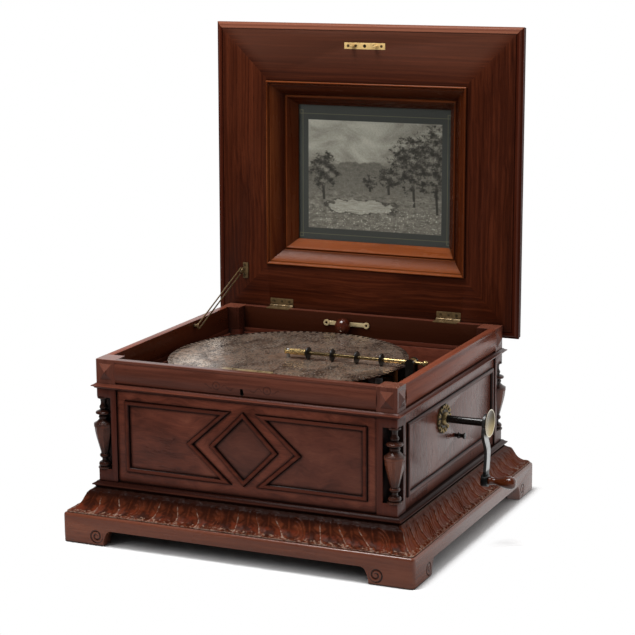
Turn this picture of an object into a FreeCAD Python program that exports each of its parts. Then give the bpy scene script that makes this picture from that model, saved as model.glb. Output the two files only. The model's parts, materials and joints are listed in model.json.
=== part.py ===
"""Table disc music box: carved case with an open lid, edge-driven disc, pressure bar and winding crank.

Millimetres, +Z up, +X towards the crank, +Y towards the hinges at the back. Pieces are made about the middle
of the plinth and moved together at the end, so the origin is on the floor under the middle of the whole
object.
"""

import math
import os

import FreeCAD
import Part
from FreeCAD import Placement, Rotation, Vector

# Every driving size of the object, grouped by assembly.
SIZES = {
    # from the middle of the plinth to the middle of the whole object with its lid open
    "frame_x": 37.0,
    "frame_y": 13.0,
    # plinth with bracket feet
    "plinth_width": 600.0,
    "plinth_depth": 562.0,
    "plinth_height": 48.0,
    "plinth_board": 22.0,
    "foot_length": 73.0,
    "arch_height": 26.0,
    "arch_curve": 15.0,
    # carved ogee moulding and the two bead mouldings
    "ogee_height": 36.0,
    "ogee_inset": 38.0,
    "ogee_inner_inset": 62.0,
    "lower_bead_height": 10.0,
    "lower_tip_inset": 35.2,
    "lower_inner_inset": 50.0,
    "upper_bead_height": 8.0,
    "upper_tip_inset": 37.0,
    # case walls, posts and frieze
    "wall_height": 152.0,
    "wall_inset": 47.0,
    "wall_board": 14.0,
    "post_inset": 44.0,
    "post_size": 34.0,
    "notch_size": 24.0,
    "notch_foot": 20.0,
    "notch_height": 117.0,
    "column_inset": 51.5,
    "column_radius": 16.3,
    "frieze_height": 39.0,
    "frieze_board": 13.0,
    "frieze_bulge": 2.6,
    "frieze_quirk": 2.4,
    "frieze_fillet": 4.0,
    "pyramid_rise": 5.0,
    "pyramid_margin": 5.5,
    # beads applied to the panels
    "bead_width": 8.0,
    "bead_rise": 4.5,
    "panel_half_height": 54.5,
    "panel_margin": 19.0,
    "panel_arrow": 93.0,
    "panel_point": 31.0,
    "diamond_half": 54.0,
    "side_panel_margin": 13.0,
    # lock
    "lock_length": 84.0,
    "lock_thickness": 12.0,
    "lock_drop": 32.0,
    "keyhole_radius": 1.9,
    "keyhole_below_rim": 27.5,
    "keyhole_wall": 0.8,
    "keyhole_drop": 5.5,
    # hinges and lid
    "lid_gap": 0.3,
    "hinge_back": 5.5,
    "hinge_offset": 157.0,
    "hinge_width": 44.0,
    "hinge_leaf": 1.5,
    "hinge_reach": 14.0,
    "knuckle_radius": 3.2,
    "hinge_pin_radius": 1.6,
    "lid_opening": 91.0,
    "lid_overhang": 25.3,
    "lid_front_overhang": 17.7,
    "lid_tail": 24.1,
    "lid_board": 20.0,
    "lid_edge_width": 12.0,
    "lid_edge_height": 27.0,
    # framed picture in the lid
    "picture_reach": 235.6,
    "sight_half_width": 142.0,
    "sight_half_height": 118.5,
    "picture_band": 43.0,
    "picture_depth": 40.0,
    "picture_lip": 2.0,
    "picture_rabbet": 7.0,
    "glass_thickness": 1.9,
    "print_thickness": 4.0,
    "lid_top_wall": 27.0,
    "lid_top_slope": 25.0,
    "lid_top_roof": 10.0,
    "catch_length": 75.0,
    "catch_width": 11.0,
    # lid stay
    "stay_inset": 9.0,
    "stay_reach": 60.0,
    "stay_drop": 5.85,
    "stay_wire": 1.25,
    "stay_pin_radius": 3.2,
    "stud_reach": 169.5,
    "stud_below_rim": 8.0,
    "stud_clearance": 0.45,
    # strap and turned knob on the back rail
    "strap_x": -24.0,
    "strap_length": 86.0,
    "strap_width": 11.0,
    "strap_thickness": 2.0,
    "strap_below_rim": 17.5,
    "knob_radius": 13.5,
    # disc and its spindle
    "disc_left_gap": 12.0,
    "disc_front_gap": 19.0,
    "disc_thickness": 1.0,
    "disc_y": -4.0,
    "disc_below_rim": 29.0,
    "disc_hole_radius": 2.6,
    "disc_hole_pitch": 11.14,
    "disc_hole_margin": 5.5,
    "spindle_radius": 2.95,
    "spindle_stem": 10.0,
    "spindle_rise": 16.0,
    # pressure bar
    "bar_radius": 2.8,
    "bar_pivot_gap": 20.0,
    "bar_pin_radius": 2.5,
    "bar_hub_radius": 6.5,
    "bar_hub_width": 11.0,
    "bar_knob_radius": 5.0,
    "bar_tail": 23.0,
    "roller_radius": 10.0,
    "roller_width": 3.0,
    "roller_first": 36.0,
    "roller_margin": 32.3,
    "roller_gap": 0.1,
    # bedplate
    "bed_level": 210.0,
    "bed_thickness": 8.0,
    "bed_side_gap": 36.0,
    "bed_left_inset": 27.0,
    "bed_front_inset": 11.0,
    "bed_back_margin": 24.5,
    "bar_room": 16.0,
    "bed_leg_radius": 12.0,
    "lug_thickness": 7.0,
    # comb and star wheels
    "star_radius": 7.0,
    "star_first": 34.0,
    "star_margin": 10.5,
    "star_pitch": 3.9,
    "star_width": 1.4,
    "star_gap": 0.5,
    "star_rod_radius": 1.5,
    "comb_thickness": 3.0,
    "comb_tooth": 40.0,
    "comb_heel": 26.0,
    # gear train
    "crank_y": -37.0,
    "crank_z": 198.0,
    "winding_module": 1.5,
    "winding_pinion_teeth": 14.0,
    "winding_wheel_teeth": 30.0,
    "drive_module": 1.75,
    "great_wheel_teeth": 66.0,
    "drive_pinion_teeth": 16.0,
    "bevel_teeth": 16.0,
    "bevel_radius": 16.0,
    "sprocket_teeth": 16.0,
    "gear_width": 8.0,
    "arbor_radius": 4.0,
    "winding_arbor_radius": 5.0,
    "barrel_radius": 43.0,
    "barrel_length": 82.0,
    "barrel_gap": 6.0,
    "governor_wheel_radius": 13.0,
    "governor_inset": 54.0,
    "governor_radius": 2.0,
    "fan_radius": 12.0,
    # winding crank
    "shaft_radius": 6.0,
    "escutcheon_half_y": 28.0,
    "escutcheon_half_z": 23.5,
    "escutcheon_thickness": 8.0,
    "arm_stand_off": 69.0,
    "arm_thickness": 5.0,
    "arm_length": 93.0,
    "hub_radius": 22.0,
    "hub_rise": 4.8,
    "hub_floor": 1.5,
    "boss_radius": 10.0,
    "grip_pin_radius": 3.0,
    "grip_length": 45.0,
    "grip_radius": 10.0,
    # start and stop knob
    "start_y": 18.0,
    "start_z": 157.0,
    "start_rod_radius": 3.0,
    "start_travel": 6.0,
    "start_knob_radius": 5.0,
    # fits
    "running_fit": 0.05,
    "free_gap": 0.5,
}

doc = FreeCAD.newDocument("DiscMusicBox")
sheet = doc.addObject("Spreadsheet::Sheet", "Dims")
for row, (alias, size) in enumerate(SIZES.items(), start=1):
    sheet.set(f"A{row}", alias)
    sheet.set(f"B{row}", str(size))
    sheet.setAlias(f"B{row}", alias)
doc.recompute()


def dim(alias):
    """Value of one driving size, read from the sheet."""
    return float(sheet.get(alias))


# Levels and half sizes that several pieces share.
half_w = dim("plinth_width") / 2
half_d = dim("plinth_depth") / 2
ogee_base = dim("plinth_height")
ogee_top = ogee_base + dim("ogee_height")
floor_level = ogee_top + dim("lower_bead_height")
wall_top = floor_level + dim("wall_height")
frieze_base = wall_top + dim("upper_bead_height")
rim_level = frieze_base + dim("frieze_height")
lid_level = rim_level + dim("lid_gap")
post_far = dim("post_inset") + dim("post_size")
frieze_far = dim("post_inset") + dim("frieze_board")
hinge_y = half_d - dim("post_inset") + dim("hinge_back")
hinge_z = rim_level + dim("lid_gap") / 2
fit = dim("running_fit")

# Places inside the case: the bedplate keeps clear of the right wall, and the disc fills what room is left.
room_w = half_w - dim("wall_inset") - dim("wall_board")
room_d = half_d - dim("wall_inset") - dim("wall_board")
bed_right = room_w - dim("bed_side_gap")
bar_pivot = bed_right - dim("bar_room")
disc_y = dim("disc_y")
disc_radius = min(
    0.5 * (bar_pivot - dim("bar_pivot_gap") + room_w - dim("disc_left_gap")),
    room_d + disc_y - dim("disc_front_gap"),
)
disc_x = bar_pivot - dim("bar_pivot_gap") - disc_radius
disc_level = rim_level - dim("disc_below_rim")
hole_circle = disc_radius - dim("disc_hole_margin")
disc_holes = round(2 * math.pi * hole_circle / dim("disc_hole_pitch"))
roller_pitch = (disc_radius - dim("roller_first") - dim("roller_margin")) / 3
star_count = int((disc_radius - dim("star_first") - dim("star_margin")) / dim("star_pitch"))
barrel_left = bed_right - dim("lug_thickness") - dim("barrel_gap") - dim("barrel_length")
governor_x = bed_right - dim("governor_inset")
arm_x = half_w - dim("wall_inset") + dim("arm_stand_off")
lid_half = half_w - dim("post_inset") + dim("lid_overhang")
lid_front = dim("post_inset") - half_d - dim("lid_front_overhang")

pieces = []


def keep(item):
    """Note a finished piece, so it is checked and written at the end."""
    pieces.append(item)
    return item


def solid_piece(label, shape, placement=None):
    """A piece whose form is made directly as a solid."""
    item = doc.addObject("Part::Feature", label)
    item.Shape = shape
    if placement is not None:
        item.Placement = placement
    return keep(item)


def box(corner, size):
    """Solid block from its lowest corner."""
    return Part.makeBox(*size, Vector(*corner))


def block(low, high):
    """Solid block between two opposite corners."""
    return box(low, [b - a for a, b in zip(low, high)])


def rod(start, axis, radius, length):
    """Solid cylinder."""
    return Part.makeCylinder(radius, length, Vector(*start), Vector(*axis))


X_AXIS, Y_AXIS, Z_AXIS = (1, 0, 0), (0, 1, 0), (0, 0, 1)


def origin_plane(body, role):
    """Origin plane of a body by its role, such as XZ."""
    return next(item for item in body.Origin.OriginFeatures if item.Role.startswith(role))


def add_sketch(body, name, role, *loops):
    """Sketch on an origin plane; a loop is a list of points, or (centre, radius) for a circle.

    A loop entry that holds two points is an arc through the first to the second.
    """
    sketch = body.newObject("Sketcher::SketchObject", name)
    sketch.AttachmentSupport = (origin_plane(body, role), [""])
    sketch.MapMode = "FlatFace"
    for loop in loops:
        if isinstance(loop, tuple):
            (cx, cy), radius = loop
            sketch.addGeometry(Part.Circle(Vector(cx, cy, 0), Vector(0, 0, 1), radius), False)
            continue
        last = Vector(*loop[-1][-1], 0) if isinstance(loop[-1][0], tuple) else Vector(*loop[-1], 0)
        for entry in loop:
            if isinstance(entry[0], tuple):
                middle, end = (Vector(*point, 0) for point in entry)
                sketch.addGeometry(Part.Arc(last, middle, end), False)
            else:
                end = Vector(*entry, 0)
                sketch.addGeometry(Part.LineSegment(last, end), False)
            last = end
    return sketch


def add_pad(body, sketch, length):
    """Pad a sketch by an expression."""
    pad = body.newObject("PartDesign::Pad", sketch.Name + "_pad")
    pad.Profile = sketch
    pad.setExpression("Length", length)
    doc.recompute()
    return pad


def add_pocket_through(body, sketch):
    """Cut a sketch right through the body, both ways."""
    before = body.Shape.Volume
    pocket = body.newObject("PartDesign::Pocket", sketch.Name + "_pocket")
    pocket.Profile = sketch
    pocket.Type = "ThroughAll"
    pocket.SideType = "Symmetric"
    doc.recompute()
    if body.Shape.Volume >= before:
        raise RuntimeError(sketch.Name + " cuts nothing")
    return pocket


def new_body(label):
    """Empty body kept as a piece."""
    return keep(doc.addObject("PartDesign::Body", label))


def turned(label, profile, placement):
    """Piece turned about its own Z axis from a half profile of (radius, height) points."""
    body = new_body(label)
    sketch = add_sketch(body, label + "_profile", "XZ", profile)
    turn = body.newObject("PartDesign::Revolution", label + "_turn")
    turn.Profile = sketch
    turn.ReferenceAxis = (sketch, ["V_Axis"])
    turn.Angle = 360
    body.Placement = placement
    doc.recompute()
    return body


def revolve(profile, base=(0, 0, 0)):
    """Solid of revolution about Z; an entry that is a list of points is a smooth curve."""
    edges = []
    for piece in profile:
        points = [Vector(r, 0, z) for r, z in piece]
        if len(points) == 2:
            edges.append(Part.makeLine(*points))
        else:
            curve = Part.BSplineCurve()
            curve.interpolate(points)
            edges.append(curve.toShape())
    face = Part.Face(Part.Wire(edges))
    shape = face.revolve(Vector(0, 0, 0), Vector(0, 0, 1), 360)
    shape.translate(Vector(*base))
    return shape


def along_x(shape, position):
    """Stand a shape made about Z along +X at a position."""
    shape.Placement = Placement(Vector(*position), Rotation(Vector(0, 1, 0), 90)).multiply(shape.Placement)
    return shape


def fused(*shapes):
    """One solid from touching shapes."""
    return shapes[0].multiFuse(list(shapes[1:])).removeSplitter()


def mitre_vectors(corners):
    """Outward mitre vector at each corner of a closed counter-clockwise path."""
    count = len(corners)
    normals = []
    for here, there in zip(corners, corners[1:] + corners[:1]):
        run = Vector(there[0] - here[0], there[1] - here[1], 0).normalize()
        normals.append((run.y, -run.x))
    vectors = []
    for index in range(count):
        before, after = normals[index - 1], normals[index]
        share = 1 + before[0] * after[0] + before[1] * after[1]
        vectors.append(((before[0] + after[0]) / share, (before[1] + after[1]) / share))
    return vectors


def mitred_ring(corners, profile, lift):
    """Moulding run round a closed path with mitred corners.

    profile is a closed list of runs of (outward offset, height) points: two points make a flat, more
    a smooth curve. lift maps path x, path y and height to a point in space.
    """
    mitres = mitre_vectors(corners)

    def edge_at(index, run):
        (cx, cy), (mx, my) = corners[index], mitres[index]
        points = [lift(cx + out * mx, cy + out * my, height) for out, height in run]
        if len(points) == 2:
            return Part.makeLine(*points)
        curve = Part.BSplineCurve()
        curve.interpolate(points)
        return curve.toShape()

    faces = []
    for index in range(len(corners)):
        following = (index + 1) % len(corners)
        for run in profile:
            faces.append(Part.makeRuledSurface(edge_at(index, run), edge_at(following, run)))
    shell = Part.makeShell(faces)
    shell.sewShape()
    ring = Part.makeSolid(Part.Shell(shell.Faces))
    if ring.Volume < 0:
        ring.reverse()
    return ring


def flat(x, y, height):
    """Lift for a horizontal moulding."""
    return Vector(x, y, height)


def rectangle(left, front, right, back):
    """Counter-clockwise rectangular path."""
    return [(left, front), (right, front), (right, back), (left, back)]


case_path = rectangle(-half_w, -half_d, half_w, half_d)


def case_ring(label, profile):
    """Moulding round the case from a profile of (inset, height) runs."""
    runs = [[(-inset, height) for inset, height in run] for run in profile]
    return solid_piece(label, mitred_ring(case_path, runs, flat))


def gear_points(teeth, pitch_radius, module, turn=0.0):
    """Outline of a straight-sided gear with a tooth centred on the turn angle, in radians."""
    tip, root = pitch_radius + 0.7 * module, pitch_radius - 0.95 * module
    step = 2 * math.pi / teeth
    points = []
    for tooth in range(int(teeth)):
        middle = turn + tooth * step
        for share, radius in ((-0.3, root), (-0.14, tip), (0.14, tip), (0.3, root)):
            angle = middle + share * step
            points.append((radius * math.cos(angle), radius * math.sin(angle)))
    return points


def polygon(points, height=0.0, scale=1.0):
    """Closed polygon wire at a height."""
    vectors = [Vector(x * scale, y * scale, height) for x, y in points]
    return Part.makePolygon(vectors + vectors[:1])


def gear(points, width):
    """Gear about Z from its outline."""
    return Part.Face(polygon(points)).extrude(Vector(0, 0, width))


def make_plinth():
    """Four mitred rails, each arched between two bracket feet."""
    board = dim("plinth_board")
    for label, side, role, half_length, half_depth in (
        ("plinth_front", -1, "XZ", half_w, half_d),
        ("plinth_back", 1, "XZ", half_w, half_d),
        ("plinth_left", -1, "YZ", half_d, half_w),
        ("plinth_right", 1, "YZ", half_d, half_w),
    ):
        outer, inner = side * half_depth, side * (half_depth - board)
        plan = [
            (-half_length, outer),
            (half_length, outer),
            (half_length - board, inner),
            (board - half_length, inner),
        ]
        if role == "YZ":
            plan = [(y, x) for x, y in plan]
        body = new_body(label)
        add_pad(body, add_sketch(body, label + "_plan", "XY", plan), "Dims.plinth_height")
        foot = half_length - dim("foot_length")
        curve, top = dim("arch_curve"), dim("arch_height")
        arch = [
            (foot, 0),
            ((foot - 0.1 * curve, 0.42 * top), (foot - 0.32 * curve, 0.74 * top)),
            ((foot - 0.6 * curve, 0.94 * top), (foot - curve, top)),
            (curve - foot, top),
            ((0.6 * curve - foot, 0.94 * top), (0.32 * curve - foot, 0.74 * top)),
            ((0.1 * curve - foot, 0.42 * top), (-foot, 0)),
        ]
        add_pocket_through(body, add_sketch(body, label + "_arch", role, arch))


def make_mouldings():
    """Carved ogee on the plinth and the sharp bead mouldings under and over the walls."""
    top_inset, inner = dim("ogee_inset"), dim("ogee_inner_inset")
    rise = dim("ogee_height")
    lip = (5.0, ogee_base + 3.8)
    case_ring("ogee_moulding", [
        [(inner, ogee_base), (1.0, ogee_base)],
        [(1.0, ogee_base), (0.4, ogee_base + 1.4), (2.0, ogee_base + 3.1), lip],
        [
            lip,
            (top_inset * 0.34, ogee_base + rise * 0.18),
            (top_inset * 0.52, ogee_base + rise * 0.37),
            (top_inset * 0.64, ogee_base + rise * 0.63),
            (top_inset * 0.76, ogee_base + rise * 0.87),
            (top_inset, ogee_top),
        ],
        [(top_inset, ogee_top), (inner, ogee_top)],
        [(inner, ogee_top), (inner, ogee_base)],
    ])
    lower_far = dim("lower_inner_inset")
    for label, base, height, tip, inner in (
        ("lower_moulding", ogee_top, dim("lower_bead_height"), dim("lower_tip_inset"), lower_far),
        ("upper_moulding", wall_top, dim("upper_bead_height"), dim("upper_tip_inset"), frieze_far),
    ):
        low, high = base + 0.42 * height, base + 0.6 * height
        case_ring(label, [
            [(inner, base), (tip + 4.5, base)],
            [(tip + 4.5, base), (tip + 3.4, base + 0.25 * height), (tip, low)],
            [(tip, low), (tip, high)],
            [(tip, high), (tip + 3.2, base + 0.74 * height), (tip + 6.0, base + height)],
            [(tip + 6.0, base + height), (inner, base + height)],
            [(inner, base + height), (inner, base)],
        ])


def make_bottom():
    """Board that closes the case below, lying on the ogee moulding."""
    item = keep(doc.addObject("Part::Box", "bottom_board"))
    item.setExpression("Length", "Dims.plinth_width - 2 * Dims.lower_inner_inset")
    item.setExpression("Width", "Dims.plinth_depth - 2 * Dims.lower_inner_inset")
    item.setExpression("Height", "Dims.lower_bead_height")
    inset = dim("lower_inner_inset")
    item.Placement = Placement(Vector(inset - half_w, inset - half_d, ogee_top), Rotation())


def make_walls():
    """Four wall boards between the corner posts; the right one is bored for winding shaft and start rod."""
    near, far = dim("wall_inset"), dim("wall_inset") + dim("wall_board")
    for label, side in (("wall_front", -1), ("wall_back", 1)):
        item = keep(doc.addObject("Part::Box", label))
        item.setExpression("Length", "Dims.plinth_width - 2 * (Dims.post_inset + Dims.post_size)")
        item.setExpression("Width", "Dims.wall_board")
        item.setExpression("Height", "Dims.wall_height")
        start = near - half_d if side < 0 else half_d - far
        item.Placement = Placement(Vector(post_far - half_w, start, floor_level), Rotation())
    reach = half_d - post_far
    for label, side in (("wall_left", -1), ("wall_right", 1)):
        body = new_body(label)
        outline = [(-reach, 0), (reach, 0), (reach, dim("wall_height")), (-reach, dim("wall_height"))]
        loops = [outline]
        if side > 0:
            shaft_hole = dim("shaft_radius") + dim("free_gap")
            loops.append(((dim("crank_y"), dim("crank_z") - floor_level), shaft_hole))
            rod_hole = dim("start_rod_radius") + fit
            loops.append(((dim("start_y"), dim("start_z") - floor_level), rod_hole))
        add_pad(body, add_sketch(body, label + "_face", "YZ", *loops), "Dims.wall_board")
        start = near - half_w if side < 0 else half_w - far
        body.Placement = Placement(Vector(start, 0, floor_level), Rotation())


def four_corners(shape):
    """A piece made for the front right corner, mirrored to all four corners."""
    left = shape.mirror(Vector(), Vector(1, 0, 0))
    return [shape, left, shape.mirror(Vector(), Vector(0, 1, 0)), left.mirror(Vector(), Vector(0, 1, 0))]


def make_posts_and_columns():
    """Corner posts with a notch each, and a turned column with a facetted vase standing in every notch."""
    inset, size = dim("post_inset"), dim("post_size")
    x_out, y_out = half_w - inset, inset - half_d
    post = block((x_out - size, y_out, floor_level), (x_out, y_out + size, wall_top))
    notch, foot = dim("notch_size"), floor_level + dim("notch_foot")
    top = foot + dim("notch_height")
    tenon = size - dim("frieze_board")
    post = post.fuse(
        block(
            (x_out - size, y_out + size - tenon, wall_top),
            (x_out - size + tenon, y_out + size, frieze_base),
        )
    ).removeSplitter()
    post = post.cut(block((x_out - notch, y_out - 1, foot), (x_out + 1, y_out + notch, top)))
    solid_piece("corner_posts", Part.makeCompound(four_corners(post)))

    tall, wide = dim("notch_height"), dim("column_radius")
    base = revolve([
        [(0, 0), (0.68 * wide, 0)],
        [(0.68 * wide, 0), (0.68 * wide, 0.018 * tall)],
        [(0.68 * wide, 0.018 * tall), (0.52 * wide, 0.026 * tall)],
        [(0.52 * wide, 0.026 * tall), (0.62 * wide, 0.058 * tall), (0.5 * wide, 0.09 * tall)],
        [(0.5 * wide, 0.09 * tall), (0.33 * wide, 0.098 * tall)],
        [(0.33 * wide, 0.098 * tall), (0.29 * wide, 0.122 * tall), (0.33 * wide, 0.146 * tall)],
        [(0.33 * wide, 0.146 * tall), (0.42 * wide, 0.15 * tall)],
        [(0.42 * wide, 0.15 * tall), (0.52 * wide, 0.175 * tall), (0.41 * wide, 0.205 * tall)],
        [(0.41 * wide, 0.205 * tall), (0, 0.205 * tall)],
        [(0, 0.205 * tall), (0, 0)],
    ])
    eighth = math.pi / 4
    rings = []
    for radius, height in ((0.37, 0.205), (0.55, 0.3), (0.76, 0.41), (0.93, 0.53), (0.97, 0.585)):
        points = [
            (radius * wide * math.cos(eighth * (n + 0.5)), radius * wide * math.sin(eighth * (n + 0.5)))
            for n in range(8)
        ]
        rings.append(polygon(points, height * tall))
    vase = Part.makeLoft(rings, True, False)
    crown = revolve([
        [(0, 0.585 * tall), (wide, 0.585 * tall)],
        [(wide, 0.585 * tall), (wide, 0.63 * tall)],
        [(wide, 0.63 * tall), (0.62 * wide, 0.665 * tall), (0.45 * wide, 0.69 * tall)],
        [(0.45 * wide, 0.69 * tall), (0.52 * wide, 0.72 * tall), (0.42 * wide, 0.75 * tall)],
        [(0.42 * wide, 0.75 * tall), (0.78 * wide, 0.765 * tall)],
        [(0.78 * wide, 0.765 * tall), (0.8 * wide, 0.78 * tall), (0.66 * wide, 0.8 * tall)],
        [(0.66 * wide, 0.8 * tall), (0.32 * wide, 0.82 * tall)],
        [(0.32 * wide, 0.82 * tall), (0.42 * wide, 0.855 * tall), (0.32 * wide, 0.885 * tall)],
        [(0.32 * wide, 0.885 * tall), (0.29 * wide, 0.93 * tall), (0.36 * wide, 0.97 * tall)],
        [(0.36 * wide, 0.97 * tall), (0.58 * wide, 0.98 * tall)],
        [(0.58 * wide, 0.98 * tall), (0.58 * wide, tall)],
        [(0.58 * wide, tall), (0, tall)],
        [(0, tall), (0, 0.585 * tall)],
    ])
    column = fused(base, vase, crown)
    column.translate(Vector(half_w - dim("column_inset"), dim("column_inset") - half_d, foot))
    solid_piece("columns", Part.makeCompound(four_corners(column)))


def make_frieze():
    """Bulged rails with a quirk below, between corner blocks with pyramids on the faces that show."""
    near, far = dim("post_inset"), frieze_far
    tall, bulge, fillet = dim("frieze_height"), dim("frieze_bulge"), dim("frieze_fillet")
    quirk = dim("frieze_quirk")
    face = near + 1.0
    profile = [
        (far, 0),
        (face + quirk, 0),
        (face + quirk, quirk),
        (face, quirk),
        ((face - bulge, 0.5 * tall), (face, tall - fillet)),
        (near, tall - fillet),
        (near, tall),
        (far, tall),
    ]
    for label, role, side, half_across, half_along in (
        ("frieze_front", "YZ", -1, half_d, half_w),
        ("frieze_back", "YZ", 1, half_d, half_w),
        ("frieze_left", "XZ", -1, half_w, half_d),
        ("frieze_right", "XZ", 1, half_w, half_d),
    ):
        def place(point):
            return (side * (half_across - point[0]), point[1])

        outline = [
            tuple(place(point) for point in entry) if isinstance(entry[0], tuple) else place(entry)
            for entry in profile
        ]
        body = new_body(label)
        pad = add_pad(body, add_sketch(body, label + "_section", role, outline),
                      f"2 * {half_along - post_far}")
        pad.SideType = "Symmetric"
        doc.recompute()
        body.Placement = Placement(Vector(0, 0, frieze_base), Rotation())
        if label == "frieze_front":
            radius = dim("keyhole_radius") + dim("keyhole_wall")
            height, drop = tall - dim("keyhole_below_rim"), dim("keyhole_drop")
            slot = [
                (radius, height),
                ((0, height + radius), (-radius, height)),
                (-radius, height - drop),
                ((0, height - drop - radius), (radius, height - drop)),
            ]
            add_pocket_through(body, add_sketch(body, "keyhole", "XZ", slot))
        if label == "frieze_back":
            gain = 0.5 * (dim("hinge_width") + dim("lid_gap"))
            loops = []
            for offset in (-dim("hinge_offset"), dim("hinge_offset")):
                loops.append([
                    (offset - gain, tall - dim("hinge_leaf")),
                    (offset + gain, tall - dim("hinge_leaf")),
                    (offset + gain, tall + 1),
                    (offset - gain, tall + 1),
                ])
            add_pocket_through(body, add_sketch(body, "hinge_gains", "XZ", *loops))

    size, rise, margin = dim("post_size"), dim("pyramid_rise"), dim("pyramid_margin")
    x_out, y_out = half_w - near, near - half_d
    corner = block((x_out - size, y_out, frieze_base), (x_out, y_out + size, rim_level))

    def pyramid(on_front):
        low, high = frieze_base + margin, rim_level - margin - 1.0
        start, end = margin, size - margin
        middle = 0.5 * (start + end)
        corners = [(start, low), (end, low), (end, high), (start, high)]
        if on_front:
            base = [Vector(x_out - a, y_out + 0.2, z) for a, z in corners]
            tip = Vector(x_out - middle, y_out - rise, 0.5 * (low + high))
        else:
            base = [Vector(x_out - 0.2, y_out + a, z) for a, z in corners]
            tip = Vector(x_out + rise, y_out + middle, 0.5 * (low + high))
        faces = [Part.Face(Part.makePolygon(base + base[:1]))]
        for here, there in zip(base, base[1:] + base[:1]):
            faces.append(Part.Face(Part.makePolygon([here, there, tip, here])))
        shape = Part.makeSolid(Part.makeShell(faces))
        if shape.Volume < 0:
            shape.reverse()
        return shape

    front_block = fused(corner, pyramid(True), pyramid(False))
    back_block = fused(corner, pyramid(False)).mirror(Vector(), Vector(0, 1, 0))
    blocks = [front_block, back_block]
    blocks += [shape.mirror(Vector(), Vector(1, 0, 0)) for shape in blocks]
    solid_piece("corner_blocks", Part.makeCompound(blocks))


def make_beads():
    """Applied beads: two arrow panels and a diamond in front, a rectangle on either side."""
    half, rise = dim("bead_width") / 2, dim("bead_rise")
    profile = [
        [(-half, 0), (half, 0)],
        [(half, 0), (half, 0.25 * rise)],
        [
            (half, 0.25 * rise),
            (0.7 * half, 0.8 * rise),
            (0, rise),
            (-0.7 * half, 0.8 * rise),
            (-half, 0.25 * rise),
        ],
        [(-half, 0.25 * rise), (-half, 0)],
    ]
    middle = floor_level + 0.5 * dim("wall_height") + 1.0
    tall, wide = dim("panel_half_height"), half_w - post_far - dim("panel_margin")
    point, arrow, diamond = dim("panel_point"), dim("panel_arrow"), dim("diamond_half")
    face_y, face_x = dim("wall_inset") - half_d, half_w - dim("wall_inset")

    def on_front(x, z, height):
        return Vector(x, face_y - height, z)

    def on_right(y, z, height):
        return Vector(face_x + height, y, z)

    right_panel = [
        (wide, middle - tall),
        (wide, middle + tall),
        (point, middle + tall),
        (arrow, middle),
        (point, middle - tall),
    ]
    right = mitred_ring(right_panel, profile, on_front)
    left = right.mirror(Vector(), Vector(1, 0, 0))
    diamond_path = [(0, middle - diamond), (diamond, middle), (0, middle + diamond), (-diamond, middle)]
    reach = half_d - post_far - dim("side_panel_margin")
    side_path = rectangle(-reach, middle - tall, reach, middle + tall)
    side = mitred_ring(side_path, profile, on_right)
    solids = [
        left,
        mitred_ring(diamond_path, profile, on_front),
        right,
        side,
        side.mirror(Vector(), Vector(1, 0, 0)),
    ]
    solid_piece("panel_beads", Part.makeCompound(solids))


def make_lock():
    """Lock on the inside of the front rail, slotted for the lid's hooks, with a lined keyhole."""
    length, thick, drop = dim("lock_length"), dim("lock_thickness"), dim("lock_drop")
    rail_inner = frieze_far - half_d
    case = block((-length / 2, rail_inner, rim_level - drop), (length / 2, rail_inner + thick, rim_level))
    for side in (-1, 1):
        x = side * 0.25 * length
        mortise_end = (x + 5, rail_inner + thick - 3, rim_level + 1)
        case = case.cut(block((x - 5, rail_inner + 3, rim_level - 14), mortise_end))
    outer = dim("keyhole_radius") + dim("keyhole_wall") - fit
    inner = dim("keyhole_radius")
    centre = rim_level - dim("keyhole_below_rim")
    low = centre - dim("keyhole_drop")
    front = dim("post_inset") - 0.9 - half_d

    def keyhole(radius, start, depth):
        up = rod((0, start, centre), Y_AXIS, radius, depth)
        down = rod((0, start, low), Y_AXIS, radius, depth)
        slot = block((-radius, start, low), (radius, start + depth, centre))
        return fused(up, down, slot)

    lining = keyhole(outer, front, 10.0).cut(keyhole(inner, front - 1, 12.0))
    solid_piece("lock", Part.makeCompound([case, lining]))


def lid_pose():
    """Turn from the closed lid to the open lid about the hinge pins."""
    pin = Vector(0, hinge_y, hinge_z)
    return Placement(Vector(), Rotation(Vector(1, 0, 0), -dim("lid_opening")), pin)


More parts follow.
